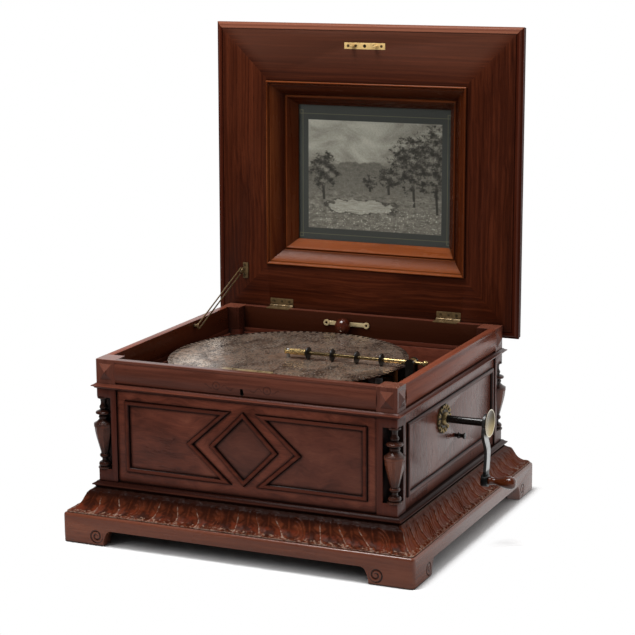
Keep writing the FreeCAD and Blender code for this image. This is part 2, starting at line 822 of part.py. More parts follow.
def make_hinges():
    """Two butt hinges: rail leaves with their pins, and lid leaves with the middle knuckles."""
    width, leaf, reach = dim("hinge_width"), dim("hinge_leaf"), dim("hinge_reach")
    radius, pin = dim("knuckle_radius"), dim("hinge_pin_radius")
    third, gap = width / 3, 0.2
    rail_leaves, lid_leaves = [], []
    for centre in (-dim("hinge_offset"), dim("hinge_offset")):
        left = centre - width / 2
        plate = block((left, half_d - frieze_far, rim_level - leaf), (left + width, hinge_y, rim_level))
        plate = plate.cut(block((left + third - gap, hinge_y - radius - 0.4, rim_level - leaf - 1),
                                (left + 2 * third + gap, hinge_y + 1, rim_level + 1)))
        ends = [
            rod((left, hinge_y, hinge_z), X_AXIS, radius, third - gap),
            rod((left + 2 * third + gap, hinge_y, hinge_z), X_AXIS, radius, third - gap),
            rod((left, hinge_y, hinge_z), X_AXIS, pin, width),
        ]
        rail_leaves.append(fused(plate, *ends))
        flap = block((left, hinge_y - reach, lid_level), (left + width, hinge_y, lid_level + leaf))
        for start in (left - 1, left + 2 * third):
            flap = flap.cut(block((start, hinge_y - radius - 0.4, lid_level - 1),
                                  (start + third + 1, hinge_y + 1, lid_level + leaf + 1)))
        eye = rod((left + third, hinge_y, hinge_z), X_AXIS, radius, third)
        flap = fused(flap, eye).cut(rod((left, hinge_y, hinge_z), X_AXIS, pin + fit, width))
        lid_leaves.append(flap)
    solid_piece("hinge_rail_leaves", Part.makeCompound(rail_leaves))
    solid_piece("hinge_lid_leaves", Part.makeCompound(lid_leaves), lid_pose())


def make_lid():
    """Lid in its closed place, then turned open: frame, edge moulding, raised top, picture and catch."""
    pose = lid_pose()
    half = lid_half
    front, back = lid_front, hinge_y + dim("lid_tail")
    edge, board = dim("lid_edge_width"), dim("lid_board")
    sight_y = hinge_y - dim("picture_reach")
    sight_w, sight_h, band = dim("sight_half_width"), dim("sight_half_height"), dim("picture_band")
    leaf = dim("hinge_leaf")

    frame = block((edge - half, front + edge, lid_level), (half - edge, back - edge, lid_level + board))
    frame = frame.cut(block((-sight_w - band, sight_y - sight_h - band, lid_level - 1),
                            (sight_w + band, sight_y + sight_h + band, lid_level + board + 1)))
    gain = 0.5 * (dim("hinge_width") + dim("lid_gap"))
    knuckle = dim("knuckle_radius") + dim("free_gap")
    for centre in (-dim("hinge_offset"), dim("hinge_offset")):
        frame = frame.cut(block((centre - gain, hinge_y - dim("hinge_reach"), lid_level - 1),
                                (centre + gain, hinge_y, lid_level + leaf)))
        frame = frame.cut(block((centre - gain, hinge_y - knuckle, lid_level - 1),
                                (centre + gain, hinge_y + knuckle, hinge_z + knuckle)))
    catch_y = frieze_far - half_d + dim("lock_thickness") / 2
    catch_l, catch_w = dim("catch_length") / 2, dim("catch_width") / 2
    frame = frame.cut(block((-catch_l, catch_y - catch_w, lid_level - 1),
                            (catch_l, catch_y + catch_w, lid_level + leaf)))
    solid_piece("lid_frame", frame, pose)

    tall = dim("lid_edge_height")
    outline = rectangle(-half, front, half, back)
    solid_piece("lid_edge_moulding", mitred_ring(outline, [
        [(-edge, lid_level), (-0.42 * edge, lid_level)],
        [(-0.42 * edge, lid_level), (-0.28 * edge, lid_level + 0.12 * tall), (0, lid_level + 0.185 * tall)],
        [(0, lid_level + 0.185 * tall), (0, lid_level + 0.333 * tall)],
        [(0, lid_level + 0.333 * tall), (-0.217 * edge, lid_level + 0.426 * tall)],
        [
            (-0.217 * edge, lid_level + 0.426 * tall),
            (-0.1 * edge, lid_level + 0.63 * tall),
            (-0.25 * edge, lid_level + 0.852 * tall),
            (-edge, lid_level + tall),
        ],
        [(-edge, lid_level + tall), (-edge, lid_level)],
    ], flat), pose)

    depth, lip, rabbet = dim("picture_depth"), dim("picture_lip"), dim("picture_rabbet")
    glass, print_depth = dim("glass_thickness"), dim("print_thickness")
    seat = lid_level + depth + lip
    ceiling = seat + glass + print_depth
    sight = rectangle(-sight_w, sight_y - sight_h, sight_w, sight_y + sight_h)
    solid_piece("picture_moulding", mitred_ring(sight, [
        [(band, lid_level + board), (band, lid_level - 0.07 * depth)],
        [
            (band, lid_level - 0.07 * depth),
            (0.95 * band, lid_level - 0.11 * depth),
            (0.9 * band, lid_level - 0.06 * depth),
            (0.88 * band, lid_level + 0.03 * depth),
        ],
        [(0.88 * band, lid_level + 0.03 * depth), (0.84 * band, lid_level + 0.03 * depth)],
        [
            (0.84 * band, lid_level + 0.03 * depth),
            (0.63 * band, lid_level + 0.23 * depth),
            (0.43 * band, lid_level + 0.48 * depth),
        ],
        [(0.43 * band, lid_level + 0.48 * depth), (0.41 * band, lid_level + 0.55 * depth)],
        [(0.41 * band, lid_level + 0.55 * depth), (0.36 * band, lid_level + 0.51 * depth)],
        [
            (0.36 * band, lid_level + 0.51 * depth),
            (0.32 * band, lid_level + 0.52 * depth),
            (0.29 * band, lid_level + 0.56 * depth),
        ],
        [(0.29 * band, lid_level + 0.56 * depth), (0, lid_level + depth)],
        [(0, lid_level + depth), (0, seat)],
        [(0, seat), (rabbet, seat)],
        [(rabbet, seat), (rabbet, ceiling)],
        [(rabbet, ceiling), (rabbet + 9, ceiling)],
        [(rabbet + 9, ceiling), (0.8 * band, lid_level + board)],
        [(0.8 * band, lid_level + board), (band, lid_level + board)],
    ], flat), pose)

    pane = rabbet - dim("free_gap")
    size = (2 * (sight_w + pane), 2 * (sight_h + pane))
    for label, alias, start in (
        ("picture_glass", "glass_thickness", seat),
        ("picture_print", "print_thickness", seat + glass),
    ):
        item = keep(doc.addObject("Part::Box", label))
        item.setExpression("Length", f"2 * (Dims.sight_half_width + {pane})")
        item.setExpression("Width", f"2 * (Dims.sight_half_height + {pane})")
        item.setExpression("Height", "Dims." + alias)
        corner = Vector(-size[0] / 2, sight_y - size[1] / 2, start)
        item.Placement = pose.multiply(Placement(corner, Rotation()))

    wall, slope, roof = dim("lid_top_wall"), dim("lid_top_slope"), dim("lid_top_roof")
    room = 0.8 * band + dim("free_gap")
    base = lid_level + board
    outer_w, outer_h = sight_w + room + wall, sight_h + room + wall

    def level(inset, height):
        near_w, near_h = outer_w - inset, outer_h - inset
        corners = rectangle(-near_w, sight_y - near_h, near_w, sight_y + near_h)
        return polygon(corners, height)

    shoulder = base + 0.25 * (ceiling + roof - base)
    skirt = Part.makeLoft([level(0, base), level(2.0, shoulder)], True, True)
    dome = Part.makeLoft([level(5.0, shoulder), level(slope, ceiling + roof)], True, True)
    top = fused(skirt, dome)
    top = top.cut(block((-sight_w - room, sight_y - sight_h - room, base - 1),
                        (sight_w + room, sight_y + sight_h + room, ceiling)))
    solid_piece("lid_top", top, pose)

    plate = block((-catch_l, catch_y - catch_w, lid_level), (catch_l, catch_y + catch_w, lid_level + leaf))
    for side in (-1, 1):
        x = side * 0.25 * dim("lock_length")
        prong_end = (x + 3, catch_y + 1.5, lid_level + leaf)
        plate = plate.fuse(block((x - 3, catch_y - 1.5, rim_level - 9), prong_end))
    solid_piece("catch_plate", plate.removeSplitter(), pose)


def make_stay():
    """Hairpin stay: bracket on the lid, loop on its pin, stud on the left rail."""
    pose = lid_pose()
    rail_inner = frieze_far - half_w
    side, reach, drop = rail_inner + dim("stay_inset"), dim("stay_reach"), dim("stay_drop")
    wire, pin = dim("stay_wire"), dim("stay_pin_radius")
    pin_y, pin_z = hinge_y - reach, hinge_z - drop
    inner = side + wire + 0.4
    plate = block((inner, pin_y - 14, lid_level - 1.5), (inner + 10, pin_y + 14, lid_level))
    ear = block((inner, pin_y - 5, pin_z), (inner + 2.5, pin_y + 5, lid_level))
    ear = fused(ear, rod((inner, pin_y, pin_z), X_AXIS, 5, 2.5))
    peg = rod((side - wire - 0.6, pin_y, pin_z), X_AXIS, pin, inner - side + wire + 0.6)
    solid_piece("stay_bracket", fused(plate, ear, peg), pose)

    stud_y, stud_z = hinge_y - dim("stud_reach"), rim_level - dim("stud_below_rim")
    start = pose.multVec(Vector(side, pin_y, pin_z))
    end = Vector(side, stud_y, stud_z)
    run = (end - start).normalize()
    across = Vector(0, -run.z, run.y)
    bend = pin + fit + wire
    path = Part.Wire([
        Part.makeLine(start + across * bend, end + across * bend),
        Part.Arc(end + across * bend, end + run * bend, end - across * bend).toShape(),
        Part.makeLine(end - across * bend, start - across * bend),
        Part.Arc(start - across * bend, start - run * bend, start + across * bend).toShape(),
    ])
    ring = Part.Wire(Part.makeCircle(wire, start + across * bend, run))
    loop = path.makePipeShell([ring], True, False)
    solid_piece("stay_loop", loop)

    stud_end = side - wire - dim("stud_clearance")
    stud = keep(doc.addObject("Part::Cylinder", "stay_stud"))
    stud.setExpression("Radius", "Dims.stay_pin_radius")
    stud.setExpression("Height", str(stud_end - rail_inner))
    stud.Placement = Placement(Vector(rail_inner, stud_y, stud_z), Rotation(Vector(0, 1, 0), 90))


def make_strap():
    """Brass strap with ring ends on the back rail and the turned knob in its middle."""
    length, width, thick = dim("strap_length"), dim("strap_width"), dim("strap_thickness")
    x, z = dim("strap_x"), rim_level - dim("strap_below_rim")
    wall = half_d - frieze_far
    radius = width / 2
    half = length / 2 - radius
    plate = block((x - half, wall - thick, z - 0.32 * width), (x + half, wall, z + 0.32 * width))
    rings = []
    for end in (x - half, x + half):
        rings.append(rod((end, wall - thick - 1, z), Y_AXIS, radius, thick + 1))
    plate = fused(plate, *rings)
    for end in (x - half, x + half):
        plate = plate.cut(rod((end, wall - thick - 2, z), Y_AXIS, 0.42 * radius, thick + 3))
    solid_piece("guard_strap", plate)
    ball = dim("knob_radius")
    neck, neck_top = 0.45 * ball, 0.35 * ball
    centre = neck_top + math.sqrt(ball**2 - neck**2)
    profile = [
        (0, 0),
        (0.55 * ball, 0),
        (neck, neck_top),
        ((ball, centre), (0, centre + ball)),
    ]
    turned("guard_knob", profile,
           Placement(Vector(x, wall - thick, z), Rotation(Vector(1, 0, 0), 90)))


def make_disc_and_spindle():
    """Punched steel disc on its centre spindle."""
    x, y, level = disc_x, disc_y, disc_level
    bed_top = dim("bed_level") + dim("bed_thickness")
    plate = rod((0, 0, 0), Z_AXIS, disc_radius, dim("disc_thickness"))
    holes = [rod((0, 0, -1), Z_AXIS, dim("spindle_radius") + fit, dim("disc_thickness") + 2)]
    for index in range(disc_holes):
        angle = -math.pi / 2 + 2 * math.pi * index / disc_holes
        spot = (hole_circle * math.cos(angle), hole_circle * math.sin(angle), -1)
        holes.append(rod(spot, Z_AXIS, dim("disc_hole_radius"), dim("disc_thickness") + 2))
    solid_piece("disc", plate.cut(Part.makeCompound(holes)), Placement(Vector(x, y, level), Rotation()))
    stem, pin = dim("spindle_stem"), dim("spindle_radius")
    shoulder = level - bed_top
    tip = shoulder + dim("spindle_rise")
    profile = [
        (0, 0),
        (1.6 * stem, 0),
        (1.6 * stem, 4),
        (stem, 7),
        (stem, shoulder),
        (pin, shoulder),
        (pin, tip - 1),
        (pin - 1, tip),
        (0, tip),
    ]
    turned("spindle", profile, Placement(Vector(x, y, bed_top), Rotation()))


bar_level = disc_level + dim("disc_thickness") + dim("roller_gap") + dim("roller_radius")


def make_pressure_bar():
    """Bar that drops onto the spindle with its rollers on the disc, hinged in an iron fork."""
    x, y = disc_x, disc_y
    pivot = bar_pivot
    radius, hub, width = dim("bar_radius"), dim("bar_hub_radius"), dim("bar_hub_width")
    eye = dim("spindle_stem") - 2
    sleeve_end = x + 29
    last_roller = x + dim("roller_first") + 3 * roller_pitch
    stretch = rod((x + eye - 2, y, bar_level), X_AXIS, radius, pivot - x - eye + 2)
    sleeve = rod((x + eye + 1, y, bar_level), X_AXIS, radius + 2.2, sleeve_end - x - eye - 1)
    sleeve_long = rod((last_roller + 5, y, bar_level), X_AXIS, radius + 1.0, pivot - hub - last_roller - 9)
    ring = rod((x, y, bar_level - 3), Z_AXIS, eye, 6)
    barrel = rod((pivot, y - width / 2, bar_level), Y_AXIS, hub, width)
    tail = rod((pivot, y, bar_level), X_AXIS, radius - 0.3, dim("bar_tail"))
    knob = Part.makeSphere(dim("bar_knob_radius"), Vector(pivot + dim("bar_tail"), y, bar_level))
    bar = fused(stretch, sleeve, sleeve_long, ring, barrel, tail, knob)
    bar = bar.cut(rod((x, y, bar_level - 10), Z_AXIS, dim("spindle_radius") + 1.3, 20))
    bar = bar.cut(rod((pivot, y - width, bar_level), Y_AXIS, dim("bar_pin_radius") + fit, 2 * width))
    solid_piece("pressure_bar", bar)

    for index in range(4):
        centre = x + dim("roller_first") + index * roller_pitch
        half, rim = dim("roller_width") / 2, dim("roller_radius")
        profile = [
            (radius + fit, -half),
            (rim - 0.6, -half),
            (rim, 0.6 - half),
            (rim, half - 0.6),
            (rim - 0.6, half),
            (radius + fit, half),
        ]
        turned(f"roller_{index + 1}", profile,
               Placement(Vector(centre, y, bar_level), Rotation(Vector(0, 1, 0), 90)))

    bed_top = dim("bed_level") + dim("bed_thickness")
    clear = width / 2 + 0.3
    ear = 5.0
    base = block((pivot - 17, y - clear - ear, bed_top), (pivot + 15, y + clear + ear, bed_top + 6))
    solids = [base]
    for start in (y - clear - ear, y + clear):
        solids.append(block((pivot - 7, start, bed_top), (pivot + 7, start + ear, bar_level)))
        solids.append(rod((pivot, start, bar_level), Y_AXIS, 7, ear))
    solids.append(rod((pivot, y - clear - ear, bar_level), Y_AXIS, dim("bar_pin_radius"), 2 * (clear + ear)))
    solid_piece("bar_bracket", fused(*solids))


# Axes of the gear train.
barrel_y = dim("crank_y")
winding_teeth = dim("winding_pinion_teeth") + dim("winding_wheel_teeth")
barrel_z = dim("crank_z") - 0.5 * dim("winding_module") * winding_teeth
sprocket_pitch = hole_circle * dim("sprocket_teeth") / disc_holes
drive_z = disc_level + 0.5 * dim("disc_thickness") - sprocket_pitch
drive_span = 0.5 * dim("drive_module") * (dim("great_wheel_teeth") + dim("drive_pinion_teeth"))
drive_y = barrel_y - math.sqrt(drive_span**2 - (drive_z - barrel_z) ** 2)
sprocket_y = disc_y - hole_circle
governor_y = drive_y - dim("governor_wheel_radius") - 4.0


def make_bedplate():
    """Cast bedplate on four legs, with bearing lugs for the train and a pad for the comb."""
    level, thick = dim("bed_level"), dim("bed_thickness")
    top = level + thick
    heel = comb_heel_y()
    left, right = disc_x - disc_radius + dim("bed_left_inset"), bed_right
    front = disc_y - disc_radius + dim("bed_front_inset")
    back = heel + dim("comb_heel") + dim("bed_back_margin")
    lug, arbor = dim("lug_thickness"), dim("arbor_radius") + fit
    x = disc_x
    solids = [block((left, front, level), (right, back, top))]
    leg = dim("bed_leg_radius")
    for px in (left + 2 * leg, right - 2 * leg):
        for py in (front + 2 * leg, back - 2 * leg):
            solids.append(rod((px, py, floor_level), Z_AXIS, leg, level - floor_level))
            solids.append(rod((px, py, floor_level), Z_AXIS, 1.5 * leg, 8))
    drive_lugs = (x + 3 * dim("bevel_radius"), barrel_left + 2.5 * dim("gear_width"))
    for start in drive_lugs:
        solids.append(block((start, drive_y - 9, level), (start + lug, drive_y + 9, drive_z + 9)))
    for start in (front + 4, drive_y - dim("bevel_radius") - 32):
        solids.append(block((x - 9, start, level), (x + 9, start + lug, drive_z + 9)))
    arbor_left = barrel_left - lug - 3
    for start in (arbor_left, right - lug):
        solids.append(block((start, barrel_y - 12, barrel_z - 12), (start + lug, barrel_y + 12, top)))
    solids.append(rod((governor_x, governor_y, level), Z_AXIS, 6, thick + 10))
    comb_x = x + dim("star_first") - 3
    comb_length = star_count * dim("star_pitch") + 6
    comb_level = star_level() - dim("comb_thickness") / 2
    solids.append(block((comb_x, heel, level), (comb_x + comb_length, heel + dim("comb_heel"), comb_level)))
    bed = fused(*solids)
    wheel = 0.5 * dim("drive_module") * dim("great_wheel_teeth") + 4
    slot_left = barrel_left - 2
    arbor_bore = dim("winding_arbor_radius") + fit
    slot = block((slot_left, barrel_y - 0.75 * wheel, level - 1),
                 (slot_left + dim("gear_width") + 4, barrel_y + 0.75 * wheel, top + 1))
    cuts = [
        slot,
        rod((drive_lugs[0] - 1, drive_y, drive_z), X_AXIS, arbor, drive_lugs[1] - drive_lugs[0] + lug + 2),
        rod((x, front - 5, drive_z), Y_AXIS, arbor, drive_y - front),
        rod((arbor_left - 1, barrel_y, barrel_z), X_AXIS, arbor_bore, right - arbor_left + 2),
        rod((right - lug - 1, barrel_y, dim("crank_z")), X_AXIS, dim("shaft_radius") + fit, lug + 2),
        rod((governor_x, governor_y, level + 2), Z_AXIS, dim("governor_radius") + fit, 40),
    ]
    for cut in cuts:
        bed = bed.cut(cut)
    solid_piece("bedplate", bed)


def star_level():
    """Height of the star wheels' rod under the disc."""
    return disc_level - dim("star_gap") - dim("star_radius")


def comb_heel_y():
    """Front of the comb's heel, behind the teeth."""
    return disc_y + dim("star_radius") + 1.5 + dim("comb_tooth")


def make_music_work():
    """Star wheels on their gantry and the steel comb that they pluck."""
    x, y = disc_x, disc_y
    first, pitch, count = x + dim("star_first"), dim("star_pitch"), star_count
    level, rod_radius = star_level(), dim("star_rod_radius")
    bed_top = dim("bed_level") + dim("bed_thickness")
    end = first + count * pitch
    cheeks = []
    for start in (first - 5, end + 1):
        cheeks.append(block((start, y - 5, bed_top), (start + 4, y + 5, level + 3)))
    rail = block((first - 5, y - 2.5, bed_top + 10), (end + 5, y + 2.5, level - dim("star_radius") - 2))
    axle = rod((first - 5, y, level), X_AXIS, rod_radius, end - first + 10)
    solid_piece("star_gantry", fused(*cheeks, rail, axle))

    points = []
    for tooth in range(8):
        for share, radius in ((0.0, dim("star_radius")), (0.5, 0.55 * dim("star_radius"))):
            angle = 2 * math.pi * (tooth + share) / 8
            points.append((radius * math.cos(angle), radius * math.sin(angle)))
    wheel = Part.Face(polygon(points)).extrude(Vector(0, 0, dim("star_width")))
    wheel = wheel.cut(rod((0, 0, -1), Z_AXIS, rod_radius + fit, dim("star_width") + 2))
    stars = []
    for index in range(count):
        star = wheel.copy()
        star.rotate(Vector(), Vector(0, 0, 1), 7.0 * index)
        along_x(star, (first + (index + 0.5) * pitch - dim("star_width") / 2, y, level))
        stars.append(star)
    solid_piece("star_wheels", Part.makeCompound(stars))

    tip, heel = y + dim("star_radius") + 1.5, comb_heel_y()
    slit = 0.9
    outline = [(first - 3, heel + dim("comb_heel")), (first - 3, heel)]
    for index in range(count):
        left, right = first + index * pitch + slit / 2, first + (index + 1) * pitch - slit / 2
        root = heel - 0.35 * dim("comb_tooth") * index / count
        outline += [(left, root), (left, tip), (right, tip), (right, root)]
    outline += [(end + 3, heel), (end + 3, heel + dim("comb_heel"))]
    body = new_body("comb")
    add_pad(body, add_sketch(body, "comb_outline", "XY", outline), "Dims.comb_thickness")
    body.Placement = Placement(Vector(0, 0, level - dim("comb_thickness") / 2), Rotation())


def make_train():
    """Spring barrel, winding arbor, drive arbor, sprocket arbor and governor."""
    width = dim("gear_width")
    module = dim("drive_module")
    great = dim("great_wheel_teeth")
    small = dim("drive_pinion_teeth")
    left = barrel_left
    line = math.atan2(drive_z - barrel_z, drive_y - barrel_y)
    arbor = dim("winding_arbor_radius")

    def on_x_axis(points, thickness, position):
        """Gear on an arbor along +X, with outline angles counted from +Y towards +Z."""
        shape = gear(points, thickness)
        turn = Rotation(Vector(0, 1, 0), Vector(0, 0, 1), Vector(1, 0, 0), "XYZ")
        shape.Placement = Placement(Vector(*position), turn)
        return shape

    teeth = gear_points(great, 0.5 * module * great, module, line)
    wheel = on_x_axis(teeth, width, (left, barrel_y, barrel_z))
    drum = rod((left, barrel_y, barrel_z), X_AXIS, dim("barrel_radius"), dim("barrel_length"))
    barrel = fused(wheel, drum)
    barrel = barrel.cut(rod((left - 1, barrel_y, barrel_z), X_AXIS, arbor + fit, dim("barrel_length") + 2))
    solid_piece("barrel", barrel)

    w_module = dim("winding_module")
    wheel_teeth, pinion_teeth = dim("winding_wheel_teeth"), dim("winding_pinion_teeth")
    gear_x = bed_right + 3
    start = left - dim("lug_thickness") - 5
    spin = on_x_axis(gear_points(wheel_teeth, 0.5 * w_module * wheel_teeth, w_module, math.pi / 2), width,
                     (gear_x, barrel_y, barrel_z))
    stalk = rod((start, barrel_y, barrel_z), X_AXIS, arbor, gear_x + width + 3 - start)
    solid_piece("winding_arbor", fused(spin, stalk))

    gap_turn = -math.pi / 2 + math.pi / pinion_teeth
    pinion = on_x_axis(gear_points(pinion_teeth, 0.5 * w_module * pinion_teeth, w_module, gap_turn), width,
                       (gear_x, dim("crank_y"), dim("crank_z")))
    inner_end = bed_right - dim("lug_thickness")
    shaft = rod((inner_end, dim("crank_y"), dim("crank_z")), X_AXIS, dim("shaft_radius"), arm_x - inner_end)
    solid_piece("winding_shaft", fused(pinion, shaft))

    x = disc_x
    cone, teeth = dim("bevel_radius"), dim("bevel_teeth")
    b_module = 2 * cone / teeth
    near = 0.62

    def bevel(turn):
        """Straight bevel about Z with its apex at the origin, opening towards +Z."""
        outline = gear_points(teeth, cone, b_module, turn)
        return Part.makeLoft([polygon(outline, near * cone, near), polygon(outline, cone)], True, True)

    half_step = math.pi / teeth
    drive_bevel = bevel(half_step)
    drive_bevel.Placement = Placement(
        Vector(x, drive_y, drive_z), Rotation(Vector(0, -1, 0), Vector(0, 0, -1), Vector(1, 0, 0), "XYZ"))
    drive_end = governor_x + 4
    r_arbor = dim("arbor_radius")
    stem = rod((x + cone - 3, drive_y, drive_z), X_AXIS, r_arbor, drive_end - x - cone + 3)
    mesh = line + math.pi + math.pi / small
    leaves = gear_points(small, 0.5 * module * small, module, mesh)
    pinion = on_x_axis(leaves, width, (left, drive_y, drive_z))
    g_wheel = dim("governor_wheel_radius")
    worm_wheel = on_x_axis(gear_points(16, g_wheel - 1.1, 1.5), 6, (governor_x - 3, drive_y, drive_z))
    solid_piece("drive_arbor", fused(drive_bevel, stem, pinion, worm_wheel))

    sprocket_bevel = bevel(0.0)
    sprocket_bevel.Placement = Placement(
        Vector(x, drive_y, drive_z), Rotation(Vector(1, 0, 0), Vector(0, 0, 1), Vector(0, -1, 0), "XYZ"))
    stem = rod((x, sprocket_y - 4, drive_z), Y_AXIS, r_arbor, drive_y - cone + 3 - sprocket_y + 4)
    count = int(dim("sprocket_teeth"))
    outline = []
    for index in range(count):
        middle = math.pi / 2 + 2 * math.pi * index / count
        for half_base, radius in ((-2.6, -4.5), (-1.1, 1.1), (1.1, 1.1), (2.6, -4.5)):
            angle = middle + half_base / sprocket_pitch
            reach = sprocket_pitch + radius
            outline.append((reach * math.cos(angle), reach * math.sin(angle)))
    sprocket = gear(outline, 2.4)
    sprocket.Placement = Placement(
        Vector(x, sprocket_y + 1.2, drive_z),
        Rotation(Vector(1, 0, 0), Vector(0, 0, 1), Vector(0, -1, 0), "XYZ"),
    )
    solid_piece("sprocket_arbor", fused(sprocket_bevel, stem, sprocket))

    gx, bed = governor_x, dim("bed_level")
    spindle = rod((gx, governor_y, bed + 3), Z_AXIS, dim("governor_radius"), 47)
    worm = rod((gx, governor_y, drive_z - 5), Z_AXIS, 3.2, 10)
    fan_base = drive_z + g_wheel + 2
    fan = dim("fan_radius")
    vane = block((gx - fan, governor_y - 0.6, fan_base), (gx + fan, governor_y + 0.6, fan_base + 9))
    solid_piece("governor", fused(spindle, worm, vane))


def make_crank():
    """Winding crank on the right side with its escutcheon, arm, dished hub and loose grip."""
    y, z = dim("crank_y"), dim("crank_z")
    wall = half_w - dim("wall_inset")
    thick = dim("escutcheon_thickness")
    major, minor = dim("escutcheon_half_y"), dim("escutcheon_half_z")

    def oval(share, start, height):
        ellipse = Part.Ellipse(Vector(0, 0, start), major * share, minor * share)
        return Part.Face(Part.Wire(ellipse.toShape())).extrude(Vector(0, 0, height))

    plate = oval(1.0, 0, 0.45 * thick)
    collar = rod((0, 0, 0), Z_AXIS, dim("shaft_radius") + 4.5, thick)
    middle = oval(0.72, 0, 0.75 * thick)
    escutcheon = fused(plate, middle, collar)
    escutcheon = escutcheon.cut(rod((0, 0, -1), Z_AXIS, dim("shaft_radius") + fit, thick + 2))
    turn = Rotation(Vector(0, 1, 0), Vector(0, 0, 1), Vector(1, 0, 0), "XYZ")
    solid_piece("crank_escutcheon", escutcheon, Placement(Vector(wall, y, z), turn))

    reach, flat_bar = dim("arm_length"), dim("arm_thickness")
    curve = ((0.0, 0.0), (-6.0, 0.22), (1.5, 0.37), (6.5, 0.5), (5.5, 0.67), (1.5, 0.88), (0.0, 1.0))
    half_width = (9.0, 9.0, 8.8, 8.5, 8.2, 8.0, 8.0)
    left = Part.BSplineCurve()
    stations = list(zip(curve, half_width))
    left.interpolate([Vector(0, y + dy - wide, z - share * reach) for (dy, share), wide in stations])
    right = Part.BSplineCurve()
    right.interpolate([Vector(0, y + dy + wide, z - share * reach) for (dy, share), wide in stations])
    ends = [
        Part.makeLine(left.value(left.LastParameter), right.value(right.LastParameter)),
        Part.makeLine(right.value(right.FirstParameter), left.value(left.FirstParameter)),
    ]
    outline = Part.Wire(Part.__sortEdges__([left.toShape(), right.toShape(), *ends]))
    blade = Part.Face(outline).extrude(Vector(flat_bar, 0, 0))
    blade.translate(Vector(arm_x, 0, 0))
    eye = rod((arm_x, y, z), X_AXIS, 14, flat_bar)
    foot_z = z - reach
    boss = rod((arm_x - 3, y, foot_z), X_AXIS, dim("boss_radius"), flat_bar + 5)
    pin_start = arm_x + flat_bar
    pin = rod((pin_start, y, foot_z), X_AXIS, dim("grip_pin_radius"), dim("grip_length") - 4)
    solid_piece("crank_arm", fused(blade, eye, boss, pin))

    dome, rise, floor = dim("hub_radius"), dim("hub_rise"), dim("hub_floor")
    lip, mouth = 1.6, rise - 0.4
    halfway, hollow = 0.5 * (dome - lip), mouth - floor
    ball = ((dome - lip) ** 2 + hollow**2) / (2 * hollow)
    profile = [
        (0, 0),
        (0.62 * dome, 0),
        ((0.84 * dome, 0.31 * rise), (dome - 0.3, rise - 0.9)),
        (dome, mouth),
        (dome - 0.7, rise),
        (dome - lip, mouth),
        ((halfway, floor + ball - math.sqrt(ball**2 - halfway**2)), (0, floor)),
    ]
    turned("crank_hub", profile, Placement(Vector(pin_start, y, z), Rotation(Vector(0, 1, 0), 90)))

    length, radius = dim("grip_length"), dim("grip_radius")
    bore = dim("grip_pin_radius") + fit
    grip = revolve([
        [(0, 0), (0.58 * radius, 0)],
        [
            (0.58 * radius, 0),
            (0.66 * radius, 0.06 * length),
            (0.55 * radius, 0.18 * length),
            (0.72 * radius, 0.45 * length),
            (radius, 0.75 * length),
            (0.86 * radius, 0.93 * length),
            (0.4 * radius, length),
        ],
        [(0.4 * radius, length), (0, length)],
        [(0, length), (0, 0)],
    ])
    grip = grip.cut(rod((0, 0, -1), Z_AXIS, bore, dim("grip_length") - 4.5))
    grip_start = pin_start + 2 + dim("lid_gap")
    solid_piece("crank_grip", grip, Placement(Vector(grip_start, y, foot_z), Rotation(Vector(0, 1, 0), 90)))


def make_start_knob():
    """Spool knob on a rod that slides through the right wall, with a collar inside that stops it."""
    radius, knob = dim("start_rod_radius"), dim("start_knob_radius")
    wall = half_w - dim("wall_inset")
    inner = wall - dim("wall_board")
    collar_end = inner - dim("start_travel") - dim("lid_gap")
    base = collar_end - 6
    rod_end = wall + 5 - base
    profile = [
        (0, 0),
        (radius + 3, 0),
        (radius + 3, 6),
        (radius, 6),
        (radius, rod_end),
        (knob, rod_end),
        (knob, rod_end + 2),
        ((0.62 * knob, rod_end + 6), (knob, rod_end + 10)),
        (knob, rod_end + 12),
        (0, rod_end + 13),
    ]
    turned("start_knob", profile,
           Placement(Vector(base, dim("start_y"), dim("start_z")), Rotation(Vector(0, 1, 0), 90)))


make_plinth()
make_mouldings()
make_bottom()
make_walls()
make_posts_and_columns()
make_frieze()
make_beads()
make_lock()
make_hinges()
make_lid()
make_stay()
make_strap()
make_bedplate()
make_disc_and_spindle()
make_music_work()
make_train()
make_pressure_bar()
make_crank()
make_start_knob()

to_frame = Placement(Vector(-dim("frame_x"), -dim("frame_y"), 0), Rotation())
for piece in pieces:
    piece.Placement = to_frame.multiply(piece.Placement)
doc.recompute()

for item in doc.Objects:
    if "Invalid" in item.State or "Error" in item.State:
        raise RuntimeError(item.Label + " did not recompute")

os.makedirs("parts", exist_ok=True)
for piece in pieces:
    shape = piece.Shape
    if shape.isNull() or not shape.isValid() or not shape.Solids or shape.Volume <= 0:
        raise RuntimeError(piece.Label + " has no sound solid")
    shape.exportStep("parts/" + piece.Label + ".step")
    print(f"{piece.Label:20s} {len(shape.Solids):3d} solids {shape.Volume / 1000:10.2f} cm3")
print(len(pieces), "pieces")
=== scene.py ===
"""Looks of a table disc music box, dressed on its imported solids.

A carved and French polished mahogany case holds a punched steel disc under a pressure bar. The open lid
carries a framed landscape print, and a crank on the right side winds the spring.
"""

import json
import logging
import math
from contextlib import contextmanager
from dataclasses import dataclass
from enum import Enum
from functools import lru_cache
from typing import Any, Callable, Iterator

import bpy
import numpy as np
from mathutils import Matrix, Vector


